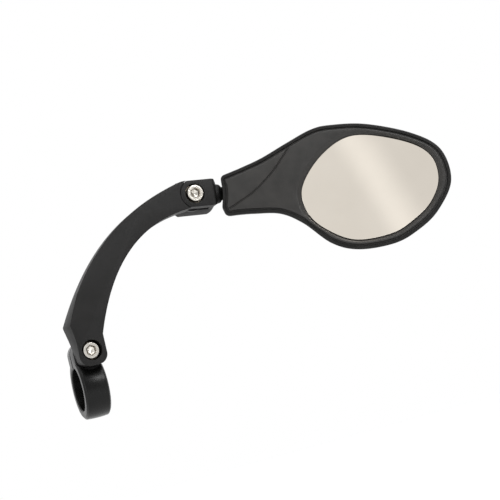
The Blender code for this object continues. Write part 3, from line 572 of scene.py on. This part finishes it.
def armEdges(t):
    # middle line: a cubic from the foot to the pivot; the width follows a square curve along it
    plan = armPlan
    foot, top = math.radians(plan["footSlope"]), math.radians(plan["headSlope"])
    start = np.array([plan["footShift"], plan["footRise"]])
    end = np.array([jointPlan["armReach"], jointPlan["armRise"] + plan["headShift"]])
    first = start + plan["footPull"] * np.array([math.cos(foot), math.sin(foot)])
    second = end - plan["headPull"] * np.array([math.cos(top), math.sin(top)])
    back = 1 - t
    line = back**3 * start + 3 * back**2 * t * first + 3 * back * t**2 * second + t**3 * end
    along = unit(
        back**2 * (first - start) + 2 * back * t * (second - first) + t**2 * (end - second))
    side = np.stack([-along[:, 1], along[:, 0]], axis=1)
    bulge = 2 * plan["waistWidth"] - (plan["footWidth"] + plan["headWidth"]) / 2
    wide = plan["footWidth"] * back**2 + 2 * bulge * t * back + plan["headWidth"] * t**2
    return line + side * wide / 2, line - side * wide / 2


plan = armPlan
outer, inner = armEdges(np.linspace(0, 1, 140)[:, None])
upper = np.array([jointPlan["armReach"], jointPlan["armRise"]])
# the outer edge bends over to follow the top of the knuckle: a soft minimum, by the logarithm of
# a sum of exponentials, of its own height and that of the crest
tilt = math.radians(jointPlan["knuckleTilt"])
overTop = np.array([-math.sin(tilt), math.cos(tilt)])
gap = plan["crest"] - (outer - upper) @ overTop
outer = outer + (gap - np.logaddexp(0, plan["bend"] * gap) / plan["bend"])[:, None] * overTop
# past these lines only the tongue goes on
outer = outer[outer[:, 0] < upper[0] - plan["edgeEnds"][0]]
inner = inner[inner[:, 0] < upper[0] - plan["edgeEnds"][1]]
half, corner, drop = plan["prongWidth"] / 2, plan["prongCorner"], plan["prongDrop"]
foot = np.vstack([
    arc((-half + corner, corner - drop), corner, math.pi, 1.5 * math.pi, 20),
    arc((half - corner, corner - drop), corner, 1.5 * math.pi, 2 * math.pi, 20)])
start = math.atan2(*(inner[-1] - upper)[::-1])
stop = math.atan2(*(outer[-1] - upper)[::-1])
radius = plan["tongueRadius"]
tongue = arc(upper, radius, start, stop, 60)
# a belly brings its lower edge level with the cheek's: none of it until two fifths of the radius
# below the pivot, all of it from nine tenths
below = np.clip(-(tongue - upper)[:, 1:] / radius * 2 - 0.8, 0, 1)
tongue += (tongue - upper) / radius * plan["tongueBelly"] * below
side = smooth([outer[0] - (0, plan["chinDrop"]), plan["prongWaist"], foot[0]], 14)[:-1]
armOutline = np.vstack([foot, inner, tongue, outer[::-1], side])
# the wall of the chin, between bow and prong, leans in towards the front
bow = np.clip(1 - np.linspace(0, 1, len(outer)) / plan["facet"][0], 0, 1)
draft = np.concatenate([
    np.zeros(len(foot) + len(inner) + len(tongue)), bow[::-1],
    np.cos(np.linspace(0, math.pi / 2, len(side)))])
front = armOutline - outward(armOutline) * (plan["chinDraft"] * draft)[:, None]
curvedArm = slab("curvedArm", armOutline, armBack, armFront, plan["edge"], clampFrame, front)
# facet: a blade whose lower side starts on the crease, a straight line across the bow, and sinks
# outwards; it lies flatter towards the top, where the crease fades into the face
facetEnds, _ = armEdges(np.array(plan["facet"])[:, None])
chord = facetEnds[1] - facetEnds[0]
across = np.array([-chord[1], chord[0]]) / np.linalg.norm(chord)
reach = np.linspace(-plan["bladeSpare"], 1 + plan["bladeSpare"], 40)[:, None]
crease = facetEnds[0] + reach * chord
sink = np.tan(np.radians(np.interp(reach, (0, 1), plan["facetLean"])))
blade = np.stack([
    np.column_stack([crease + out * across, armFront + up - out * sink * sloped])
    for out, up, sloped in plan["blade"]], axis=1)
combine(curvedArm, ringSolid("facet", blade, clampFrame))
drilled(curvedArm, screwPlan["counterbore"], clampFloor, clampFrame)
drilled(curvedArm, screwPlan["hole"], 0, clampFrame)
drilled(curvedArm, plan["shoulder"], plan["tongueFront"], pivotFrame, steps=120)
drilled(curvedArm, screwPlan["hole"], 0, pivotFrame)
dressed(curvedArm, "arm", "arm_nylon", blackNylon, "arm")
print("arm made")

# Knuckle: two cheeks round the tongue, running into the neck that carries the ball stud
knucklePlan = {
    "back": 2.8,
    "slotBack": 9.2, "slotFront": 13.7, "slotEnd": 9.2,
    "eye": 7.8, "height": 14.2,
    "rearEye": 10.6, "rearHeight": 17.2, "rearDrop": 0.3, "rearShy": 0.15,
    "nose": 14.2, "noseCorner": 4.6, "noseRoll": 6.4, "noseFront": 11.0, "noseFall": 13.6,
    "noseBend": (1.8, 3.0),
    "neck": 5.2, "neckEnd": 14.7,
    "edge": 0.7,
    "columns": 200,
}
studPlan = {
    "ball": 4.5,
    "poleGap": 0.08,  # radians
    "throat": 2.7,
    # from the throat to the shoulder of the collar: radius, and height from the ball's centre
    "flare": ((2.7, -5.28), (3.0, -7.64), (3.6, -9.824), (4.75, -11.0)),
    "collar": (5.0, -11.4),
    "shank": 3.0, "shankLength": 4.6, "shankCap": 0.3,
    "gap": 0.3,  # round the shank, below it and under the collar
}


def cheek(eye, noseHalf, nose):
    corner = knucklePlan["noseCorner"]
    lift = math.asin(min(noseHalf, eye) / eye)
    back = arc((0, 0), eye, math.pi - lift, math.pi + lift, 60)
    low = fillet(back[-1], (nose, -noseHalf), (nose, noseHalf), corner, 16)
    high = fillet((nose, -noseHalf), (nose, noseHalf), back[0], corner, 16)
    return evenly(np.vstack([back, low, high]), knucklePlan["columns"])


plan = knucklePlan
forkKnuckle = slab(
    "forkKnuckle", cheek(plan["eye"], plan["height"] / 2, plan["nose"]), plan["slotBack"] - past,
    armFront, plan["edge"], pivotFrame)
rear = cheek(plan["rearEye"], plan["rearHeight"] / 2, plan["nose"] - plan["rearShy"])
rear -= (0, plan["rearDrop"])
# its underside slopes up towards the rider, to the height of the front cheek
slope = np.where(
    rear[:, 1:] < 0, plan["height"] / (plan["rearHeight"] + 2 * plan["rearDrop"]), 1.0)
combine(forkKnuckle, slab(
    "rearCheek", rear, plan["back"], plan["slotBack"], plan["edge"] / 2, pivotFrame,
    np.hstack([rear[:, :1], rear[:, 1:] * slope])), "UNION")
# seen from above, the limits of the nose; a hair outside the faces, so that none coincide
nose, low, high = plan["nose"] + hair, plan["back"] - hair, armFront + hair
fall, brow = (nose, plan["noseFall"]), (plan["noseFront"], high)
topView = np.vstack([
    [(-wideOff, armFront + past), (-wideOff, plan["back"] - past), (0, plan["back"] - past)],
    fillet((0, low), (nose, low), (nose, high), plan["noseRoll"], 16),
    # towards the rider the nose falls away steeply, so that the lip of the head can swing past it
    fillet((nose, low), fall, brow, plan["noseBend"][1], 12),
    fillet(fall, brow, (0, high), plan["noseBend"][0], 12),
    [(0, high), (0, armFront + past)]])
noseRings = np.stack([
    np.column_stack([topView[:, 0], np.full(len(topView), w), topView[:, 1]])
    for w in (-wideOff, wideOff)])
combine(forkKnuckle, ringSolid("noseLimits", noseRings, pivotFrame), "INTERSECT")
ballReach = jointPlan["ballPlace"][0]
combine(forkKnuckle, rod(
    "neck", plan["neck"], (plan["slotEnd"] + nose) / 2 - ballReach, plan["neckEnd"] - ballReach,
    studFrame), "UNION")
combine(forkKnuckle, block(
    "slot", (-wideOff, -wideOff, plan["slotBack"]),
    (plan["slotEnd"], wideOff, plan["slotFront"]), pivotFrame))
combine(forkKnuckle, rod(
    "studBore", studPlan["shank"] + studPlan["gap"],
    plan["neckEnd"] - studPlan["shankLength"] - studPlan["gap"] - ballReach, past, studFrame))
pivotFloor = armFront - screwPlan["pivotSink"]
drilled(forkKnuckle, screwPlan["counterbore"], pivotFloor, pivotFrame)
drilled(forkKnuckle, screwPlan["hole"], 0, pivotFrame)
combine(forkKnuckle, nutPocket(plan["back"], pivotFrame))
dressed(forkKnuckle, "knuckle", "arm_nylon", blackNylon, "knuckle")

pivotBolt = capScrew(
    "pivotBolt", pivotFloor + screwPlan["washer"], plan["back"], pivotFrame, pivotSteel)
dressed(pivotBolt, "knuckle", "stainless_steel", pivotSteel, "pivot_bolt")
pivotNut = hexNut("pivotNut", plan["back"], pivotFrame)
dressed(pivotNut, "knuckle", "stainless_steel", pivotSteel, "pivot_nut")

# Ball stud: the ball, a throat, a flared collar against the neck, and the shank in it
plan = studPlan
ball, throat, shank = plan["ball"], plan["throat"], plan["shank"]
collarAt = knucklePlan["neckEnd"] + plan["gap"] - ballReach
shankAt = collarAt - plan["shankLength"]
throatAt = -math.sqrt(ball**2 - throat**2)
ballArc = arc((0, 0), ball, math.pi / 2 - plan["poleGap"], math.atan2(throatAt, throat), 40)
foot = [plan["collar"], (plan["collar"][0], collarAt + hair), (shank, collarAt),
        (shank, shankAt), (plan["shankCap"], shankAt)]
ballStud = turned("ballStud", np.vstack([ballArc, smooth(plan["flare"], 8), foot]), studFrame)
dressed(ballStud, "stud", "arm_nylon", blackNylon, "ball_stud")
print("knuckle and ball stud made")

# Mirror head, drawn from the ball's centre: x along the head, y up, z out of the face
headPlan = {
    "lensCentre": (69.5, 0.0),
    "lensLength": 72.0,
    "lensHeight": 56.0,
    # lens outline in half lengths and heights, and the rim outside it, none towards the neck
    "lensShape": (
        (1.0, 0.14, 6.4), (0.9, 0.58, 5.9), (0.57, 0.845, 5.1), (-0.06, 1.0, 5.6),
        (-0.45, 0.89, 9.5), (-0.81, 0.46, None), (-1.0, -0.08, None), (-0.86, -0.575, None),
        (-0.51, -0.885, 3.8), (-0.15, -1.0, 3.6), (0.33, -0.875, 4.2), (0.63, -0.63, 4.9),
        (0.88, -0.3, 5.4)),
    "neckTop": ((38.57, 30.9), (26.41, 24.2), (12.23, 15.7), (0.42, 10.2)),
    "neckBottom": ((0.42, -12.6), (8.06, -12.1), (22.24, -12.2), (34.4, -17.4)),
    "endTop": (-9.1, 6.3),
    "endMiddle": (-7.8, -2.9),
    "endBottom": (-8.0, -13.6),
    "endRadii": (2.6, 3.2),
    "spineStart": (2.0, -3.0),
    "leastSquare": 0.7,  # walls that slant to the spine more than this are drawn in no further
    "columns": 640,
    "shy": 0.1,  # mm inside the box of the solids
    # over this depth, going back from the lip, the lower wall slopes in; its lines meet far in
    # front, and the slope fades out over this share where the outline turns up
    "draftDepth": 12.3,
    "draftPoint": (42.5, -118.3),
    "draftAway": 704.0,
    "draftFade": 0.06,
}


def lensPoints():
    plan = headPlan
    shape = np.array([s[:2] for s in plan["lensShape"]])
    return np.array(plan["lensCentre"]) + shape * (plan["lensLength"], plan["lensHeight"]) / 2


def lensOutline(grow=0.0):
    line = smooth(lensPoints(), 24, closed=True)
    return line + outward(line) * grow


def headOutline():
    # from below the neck round the rim to above the neck, then down the hollow end
    plan = headPlan
    spots = lensPoints()
    widths = [s[2] for s in plan["lensShape"]]
    bare = [i for i, width in enumerate(widths) if width is None]
    rim = (spots + outward(spots) * np.array([w or 0.0 for w in widths])[:, None]).tolist()
    around = rim[bare[-1] + 1:] + rim[:bare[0]]
    sweep = smooth([*plan["neckBottom"], *around, *plan["neckTop"]], 16)
    top = fillet(sweep[-1], plan["endTop"], plan["endMiddle"], plan["endRadii"][0], 14)
    bottom = fillet(plan["endMiddle"], plan["endBottom"], sweep[0], plan["endRadii"][1], 14)
    hollow = smooth([top[-1], plan["endMiddle"], bottom[0]], 14)[1:-1]
    line = evenly(np.vstack([sweep, top, hollow, bottom]), plan["columns"])
    return line - outward(line) * plan["shy"]


def leaned(points, height):
    # the outline at a height: full size at the lip, and drawn up below as it goes back
    plan = headPlan
    forward = np.clip(height - platePlan["lipTop"] + plan["draftDepth"], 0, plan["draftDepth"])
    aim = (np.array(plan["draftPoint"]) - points) / plan["draftAway"]
    below = np.clip((outward(points) * aim).sum(axis=1) / plan["draftFade"], 0, 1)
    below = below * below * (3 - 2 * below)
    return points + aim * (forward * below)[:, None]


def towardsSpine(points):
    # the way from each point to the nearest one of a line from the ball to the lens's centre
    start = np.array(headPlan["spineStart"])
    line = np.array(headPlan["lensCentre"]) - start
    share = np.clip((points - start) @ line / (line @ line), 0, 1)
    return start + share[:, None] * line - points


def drawnIn(points, width):
    # towards the spine, as far as moves the wall in by the width
    inward = unit(towardsSpine(points))
    square = np.maximum(-(inward * outward(points)).sum(axis=1), headPlan["leastSquare"])
    return points + inward * (width / square)[:, None]


# The stud leaves the head through a cone that opens towards the knuckle
mouthPlan = {
    "radius": 3.2,
    "slope": 0.44,
    "reach": 27.0,
}


def mouth():
    plan = mouthPlan
    wide = plan["radius"] + plan["slope"] * plan["reach"]
    return rod("mouth", wide, -plan["reach"], 0, studFrame, steps=160, endRadius=plan["radius"])


# Front plate: lip, groove and raised panel round the bezel, and a tray behind the lens
platePlan = {
    "back": 8.7,
    "backEdge": (0.25, 0.3),
    "panelFace": 14.0, "panelBack": 11.6, "panelRound": 0.7,
    "wall": 2.0,
    "lipTop": 13.5, "lipWidth": 1.9, "lipRound": 0.7, "lipEdge": 0.25,
    "grooveWidth": 0.8, "grooveDepth": 1.0,
    "rimLeast": 0.4,  # share of its width that the rim keeps where it is narrowest
    "bezelWidth": 2.4, "bezelLeast": 1.3, "bezelShy": 0.15,
    # section of the bezel from the lens up to the panel and past it, in shares of width and rise
    "bezelSlope": ((0.0, 0.0), (0.3, 0.3), (0.62, 0.66), (0.85, 0.9), (1.0, 0.985),
                   (1.12, 1.005), (1.2, 1.2)),
    "lensFront": 12.1,
    "trayTop": 8.8, "trayBottom": 7.2, "trayWall": 0.8,
    "arcLine": ((27.2, 21.6), (19.0, 9.0), (8.5, -2.3), (-4.0, -11.1)),
    "arcSection": ((-0.7, 0.14), (0.7, 0.14), (0.125, -0.5), (-0.125, -0.5)),
}
plan = platePlan
outline = headOutline()
quarter = np.linspace(0, math.pi / 2, 6)
lip, lipTop, lipWidth, lipEdge = (
    plan[key] for key in ("lipRound", "lipTop", "lipWidth", "lipEdge"))
back, wall, bend = plan["back"], plan["wall"], plan["panelRound"]
groove = lipTop - plan["grooveDepth"]
panelEdge = lipWidth + plan["grooveWidth"]
panelInset = panelEdge + bend
rimSection = np.vstack([
    # panel's rounded edge, groove, lip, outer wall, back: inset from the outline, then height
    np.column_stack([
        panelInset - bend * np.sin(quarter), plan["panelFace"] - bend + bend * np.cos(quarter)]),
    [(panelEdge, groove), (lipWidth, groove), (lipWidth, lipTop - lipEdge),
     (lipWidth - lipEdge, lipTop), (lip + flatEnd, lipTop)],
    np.column_stack([lip - lip * np.sin(quarter), lipTop - lip + lip * np.cos(quarter)]),
    [(0.0, back + plan["backEdge"][1]), (plan["backEdge"][0], back), (wall, back),
     (wall, plan["panelBack"])]])


def squeeze(line, other):
    # room from each point of one line to the other, and the share of their width that lip, groove
    # and panel edge keep when the bezel has taken its least
    plan = platePlan
    room = np.linalg.norm(line[:, None] - other[None], axis=2).min(axis=1)
    return room, np.clip((room - plan["bezelLeast"]) / panelInset, plan["rimLeast"], 1.0)


lensLine = evenly(lensOutline(), 400)
lipLine = leaned(outline, lipTop)
_, share = squeeze(lipLine, lensLine)
frontPlate = ringSolid("frontPlate", np.stack([
    lifted(drawnIn(leaned(outline, height), inset * share), height)
    for inset, height in rimSection]), headFrame)
# the panel has the grain; from the groove outwards the mould was left plain, and those rows are
# painted darker as shade
for surface in (blackAbs, plainAbs):
    frontPlate.data.materials.append(surface)
row = np.arange(len(frontPlate.data.polygons)) // len(outline)
plain = (row > len(quarter)) & (row < len(rimSection) - 1)
frontPlate.data.polygons.foreach_set("material_index", plain.astype(np.int32))
tray = lensLine + outward(lensLine) * plan["trayWall"]
trayRings = [lifted(tray, plan["trayBottom"]), lifted(tray, plan["panelFace"] - past)]
combine(frontPlate, ringSolid("tray", np.stack(trayRings), headFrame), "UNION")
room, share = squeeze(lensLine, lipLine)
wide = np.minimum(plan["bezelWidth"], room - panelInset * share - plan["bezelShy"])[:, None]
rise = plan["panelFace"] - plan["lensFront"]
pocket = [lifted(lensLine, plan["trayTop"])] + [
    lifted(lensLine + outward(lensLine) * wide * out, plan["lensFront"] + up * rise)
    for out, up in plan["bezelSlope"]]
combine(frontPlate, ringSolid("lensPocket", np.stack(pocket), headFrame))
# the curved line across the panel: a groove that narrows to its floor
line = smooth(plan["arcLine"], 16)
along = unit(np.gradient(line, axis=0))
across = np.stack([-along[:, 1], along[:, 0]], axis=1)
cut = np.stack([
    lifted(line + across * out, plan["panelFace"] + up) for out, up in plan["arcSection"]], axis=1)
combine(frontPlate, ringSolid("arcLine", cut, headFrame))
combine(frontPlate, mouth())
dressed(frontPlate, "head", "head_nylon", blackAbs, "front_plate", sharp=40)

# Rear shell: the outline draws in towards the spine as it goes back, and the same again inside
shellPlan = {
    "rim": 8.4,
    "backAtBall": 10.2,
    "backAtLens": 7.5,
    "wall": 2.0,
    # shares of the way back and of the way in to the spine
    "dish": ((0.0, 0.0), (0.25, 0.0), (0.47, 0.0), (0.63, 0.08), (0.80, 0.22), (0.94, 0.42),
             (1.0, 0.62), (1.0, 0.8)),
    "columns": 320,
    # the block that holds the socket: its end towards the lens, half its size, and its front
    "socketBlock": 13.5,
    "socketReach": 27.0,
    "socketFront": -0.15,
    "socket": 5.8,
}


def dish(line, inset):
    # the way back and the way in to the spine follow one smooth curve through the dish's points
    plan = shellPlan
    edge = drawnIn(line, inset) if inset else line
    change = plan["backAtLens"] - plan["backAtBall"]
    slant = plan["backAtBall"] + change * edge[:, 0] / headPlan["lensCentre"][0]
    rings = []
    for deep, inwards in np.clip(smooth(plan["dish"], 5), 0, 1):
        height = plan["rim"] - deep * (plan["rim"] + slant - inset)
        ring = leaned(edge, height)
        rings.append(lifted(ring + inwards * towardsSpine(ring), height))
    return np.stack(rings)


plan = shellPlan
coarse = evenly(outline, plan["columns"])
shellRings = np.concatenate([dish(coarse, 0.0)[::-1], dish(coarse, plan["wall"])])
rearShell = ringSolid("rearShell", shellRings, headFrame)
core = ringSolid("socketCore", dish(coarse, plan["wall"] / 2), headFrame)
reach = plan["socketReach"]
combine(core, block(
    "coreLimits", (-reach, -reach, -reach),
    (plan["socketBlock"], reach, plan["socketFront"]), headFrame), "INTERSECT")
combine(rearShell, core, "UNION")
combine(rearShell, sphere("socket", plan["socket"], headFrame))
combine(rearShell, mouth())
dressed(rearShell, "head", "head_nylon", blackAbs, "rear_shell", sharp=40)

# Convex lens: a square grid pressed into the outline, raised by the sphere it lies on
lensPlan = {
    "thickness": 1.8,
    "curvature": 800.0,
    "play": 0.3,
    "edge": 0.06,
    "edgeSteps": ((0.7, 0.02), (1.0, 0.08)),  # shares of the edge outwards, mm down from the rim
    "cells": 72,
}
plan = lensPlan
grid = np.linspace(-1, 1, plan["cells"] + 1)
across, upwards = np.meshgrid(grid, grid, indexing="ij")
# square to disc: the longer side gives the radius, the shorter one a share of an eighth of a turn
radius = np.maximum(np.abs(across), np.abs(upwards))
wideWays = np.abs(across) >= np.abs(upwards)
longer = np.where(wideWays, across, upwards)
shorter = np.where(wideWays, upwards, across)
eighth = math.pi / 4 * np.divide(shorter, longer, out=np.zeros_like(longer), where=longer != 0)
aim = np.where(wideWays, eighth, math.pi / 2 - eighth) + np.where(longer < 0, math.pi, 0.0)
centre = np.array(headPlan["lensCentre"])
edge = lensOutline(-plan["play"]) - centre
ray = np.arctan2(edge[:, 1], edge[:, 0])
order = np.argsort(ray)
reach = np.interp(aim, ray[order], np.linalg.norm(edge, axis=1)[order], period=2 * math.pi)
spread = radius * (reach - plan["edge"])
lensFront = platePlan["lensFront"]
bulge = (spread.max()**2 - spread**2) / (2 * plan["curvature"])  # above the rim's lowest point
front = np.stack([
    centre[0] + spread * np.cos(aim), centre[1] + spread * np.sin(aim), lensFront + bulge], axis=-1)
corner = np.arange(front.size // 3).reshape(radius.shape)
quads = np.stack([corner[:-1, :-1], corner[1:, :-1], corner[1:, 1:], corner[:-1, 1:]], axis=-1)
faces = quads.reshape(-1, 4).tolist()
loop = np.concatenate([corner[:-1, 0], corner[-1, :-1], corner[:0:-1, -1], corner[0, :0:-1]])
rim = front.reshape(-1, 3)[loop]
outwards = unit(rim[:, :2] - centre)
steps = [(out, rim[:, 2] - down) for out, down in plan["edgeSteps"]]
points = [front.reshape(-1, 3)]
rows = [loop]
for out, height in (*steps, (1.0, lensFront - plan["thickness"])):
    rows.append(len(loop) * (len(rows) - 1) + corner.size + np.arange(len(loop)))
    points.append(lifted(rim[:, :2] + out * plan["edge"] * outwards, height))
for upper, lower in zip(rows, rows[1:]):
    faces += np.stack([upper, np.roll(upper, -1), np.roll(lower, -1), lower], axis=-1).tolist()
faces.append(rows[-1].tolist())
mirrorLens = addPiece("mirrorLens", np.concatenate(points), faces, headFrame)
dressed(mirrorLens, "head", "mirror_lens", mirrorSilver, "mirror_lens", sharp=10)
print("mirror head made")

# Solids that show only in gaps keep their shape and take a finish
nodeFinish = {
    # the washers take the same painted shade, for the shadow in the counterbores round the bolts
    "clamp_washer": dullPaintedShadeSteel, "pivot_washer": dullPaintedShadeSteel,
    "pivot_friction_washer": paleAcetal, "socket_cup": paleAcetal, "socket_cap": paleAcetal,
    "lens_pad": padFoam, "pressure_pad": padRubber,
}
nodeFinish |= {f"plate_screw_{number}": headSteel for number in (1, 2, 3)}
nodeFinish |= {f"socket_screw_{number}": headSteel for number in (1, 2)}
for node, surface in nodeFinish.items():
    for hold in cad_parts[node].material_slots:
        hold.material = surface
print("kept solids dressed:", len(nodeFinish))

# Camera where the photograph was taken from
cameraPlan = {
    "place": (-145.085248, -692.914599, -15.857785),
    "right": (0.920297, -0.303514, -0.246845),
    "up": (0.204025, -0.166017, 0.964786),
    "back": (-0.333807, -0.938252, -0.090861),
    "lens": 98.28,
    "sensor": 36,
    "clip": 0.01,
}
cameraData = bpy.data.cameras.new("camera")
cameraData.lens = cameraPlan["lens"]
cameraData.sensor_width = cameraPlan["sensor"]
cameraData.clip_start = cameraPlan["clip"]
camera = linked("camera", cameraData)
right, up, back = (np.array(cameraPlan[key]) for key in ("right", "up", "back"))
place = np.array(cameraPlan["place"]) * mm
pose = np.vstack([np.column_stack([right, up, back, place]), (0, 0, 0, 1)])
camera.matrix_world = Matrix(pose.tolist())
scene.camera = camera

# Floor, lamps and world: a white room with large soft lamps, in metres
stagePlan = {
    "floorDrop": 0.25,
    "floorSize": 6.0,
    "paperGlow": 0.5,
    "ambient": 0.5,
    # wall behind the camera, along the camera's right and up: centre, size, and the band on it
    "wallBehind": 1.0,
    "wallCentre": (0.035, 0.565),
    "wallSize": 2.4,
    "bandAt": (0.039, 0.65),
    "bandSlant": (0.87, 0.494),
    # a plain soft band: the wall on one side, the crest, the wall on the other side
    "bandTones": ((-0.12, 0.83), (-0.02, 1.0), (0.12, 0.79)),
    "lamps": (
        # place, aim, width, height, watts
        ((-0.9, -0.55, -0.05), (0.05, 0.0, 0.05), 0.7, 0.9, 4.0),
        ((0.335, -0.85, 0.43), (0.03, 0.0, 0.02), 0.2, 0.2, 2.6),
        ((0.3, -0.6, 0.9), (0.05, 0.0, 0.04), 0.5, 0.5, 3.5),
        ((-0.35, -0.55, 0.85), (0.02, 0.0, 0.05), 0.5, 0.5, 2.6),
    ),
}


def stageSheet(name, corners):
    mesh = bpy.data.meshes.new(name)
    mesh.from_pydata([tuple(c) for c in corners], [], [(0, 1, 2, 3)])
    return linked(name, mesh)


def seenDirectly(tree):
    # one for rays from the camera, off a shiny surface or through a clear one
    path = addNode(tree, "LightPath", {})
    seen = path.outputs["Is Camera Ray"]
    for ray in ("Is Glossy Ray", "Is Transmission Ray"):
        either = addNode(tree, "Math", {0: seen, 1: path.outputs[ray]}, operation="MAXIMUM")
        seen = either.outputs[0]
    return seen


square = ((-1, -1), (1, -1), (1, 1), (-1, 1))
size, drop = stagePlan["floorSize"] / 2, -stagePlan["floorDrop"]
floor = stageSheet("floor", [(a * size, b * size, drop) for a, b in square])
# floor: white paper with a faint cloud of fibres
paper, tree, shader, where = newMaterial(
    "studioPaper", Roughness=0.9, Emission_Color=hexColour("#FFFFFF"))
fibre = addNode(tree, "TexNoise", {
    "Vector": where, "Scale": perMm(30), "Detail": 3.0})
finished(tree, shader, fibre.outputs["Fac"], ((0.0, "#F4F4F4"), (1.0, "#FFFFFF")))
glow = addNode(tree, "Math", {
    0: seenDirectly(tree), 1: stagePlan["paperGlow"]}, operation="MULTIPLY")
tree.links.new(glow.outputs[0], shader.inputs["Emission Strength"])
floor.data.materials.append(paper)

# Wall behind the camera: only reflections show it, and its soft band is what the lens mirrors
wallSpot = place + back * stagePlan["wallBehind"]
centre = wallSpot + right * stagePlan["wallCentre"][0] + up * stagePlan["wallCentre"][1]
reach = stagePlan["wallSize"] / 2
wall = stageSheet("wall", [centre + reach * (a * right + b * up) for a, b in square])
wall.visible_camera = wall.visible_diffuse = False
wall.visible_shadow = wall.visible_transmission = False
# matt paint that shines by itself, so that the band stays as drawn
wallPaint, tree, shader, where = newMaterial(
    "wallPaintMatt", Roughness=1.0, Specular_IOR_Level=0.0, Base_Color=hexColour("#000000"),
    Emission_Strength=1.0)
slant = stagePlan["bandSlant"][0] * right + stagePlan["bandSlant"][1] * up
bandSpot = wallSpot + right * stagePlan["bandAt"][0] + up * stagePlan["bandAt"][1]
across = addNode(tree, "VectorMath", {0: where, 1: tuple(slant)}, operation="DOT_PRODUCT")
tones = stagePlan["bandTones"]
first, last = tones[0][0], tones[-1][0]
along = addNode(tree, "MapRange", {
    "Value": across.outputs["Value"], "From Min": float(bandSpot @ slant) + first,
    "From Max": float(bandSpot @ slant) + last})
ramp = addNode(tree, "ValToRGB", {"Fac": along.outputs["Result"]})
ramp.color_ramp.interpolation = "EASE"
for spot, _ in tones[1:-1]:
    ramp.color_ramp.elements.new((spot - first) / (last - first))
for stop, (_, level) in zip(ramp.color_ramp.elements, tones):
    stop.color = (level, level, level, 1.0)
tree.links.new(ramp.outputs["Color"], shader.inputs["Emission Color"])
wall.data.materials.append(wallPaint)

for number, (place, aim, width, height, watts) in enumerate(stagePlan["lamps"], 1):
    lampData = bpy.data.lights.new(f"softbox{number}", "AREA")
    lampData.shape = "RECTANGLE"
    lampData.size = width
    lampData.size_y = height
    lampData.energy = watts
    lamp = linked(f"softbox{number}", lampData)
    turn = (Vector(place) - Vector(aim)).to_track_quat("Z", "Y")
    lamp.matrix_world = Matrix.Translation(place) @ turn.to_matrix().to_4x4()

world = bpy.data.worlds.new("whiteRoom")
world.use_nodes = True
scene.world = world
tree = world.node_tree
tree.nodes.clear()
strength = addNode(tree, "MapRange", {
    "Value": seenDirectly(tree), "To Min": stagePlan["ambient"], "To Max": 1.0})
sky = addNode(tree, "Background", {
    "Color": hexColour("#FFFFFF"), "Strength": strength.outputs["Result"]})
addNode(tree, "OutputWorld", {"Surface": sky.outputs["Background"]})
scene.view_settings.view_transform = "Standard"
print("camera, floor and lamps set")
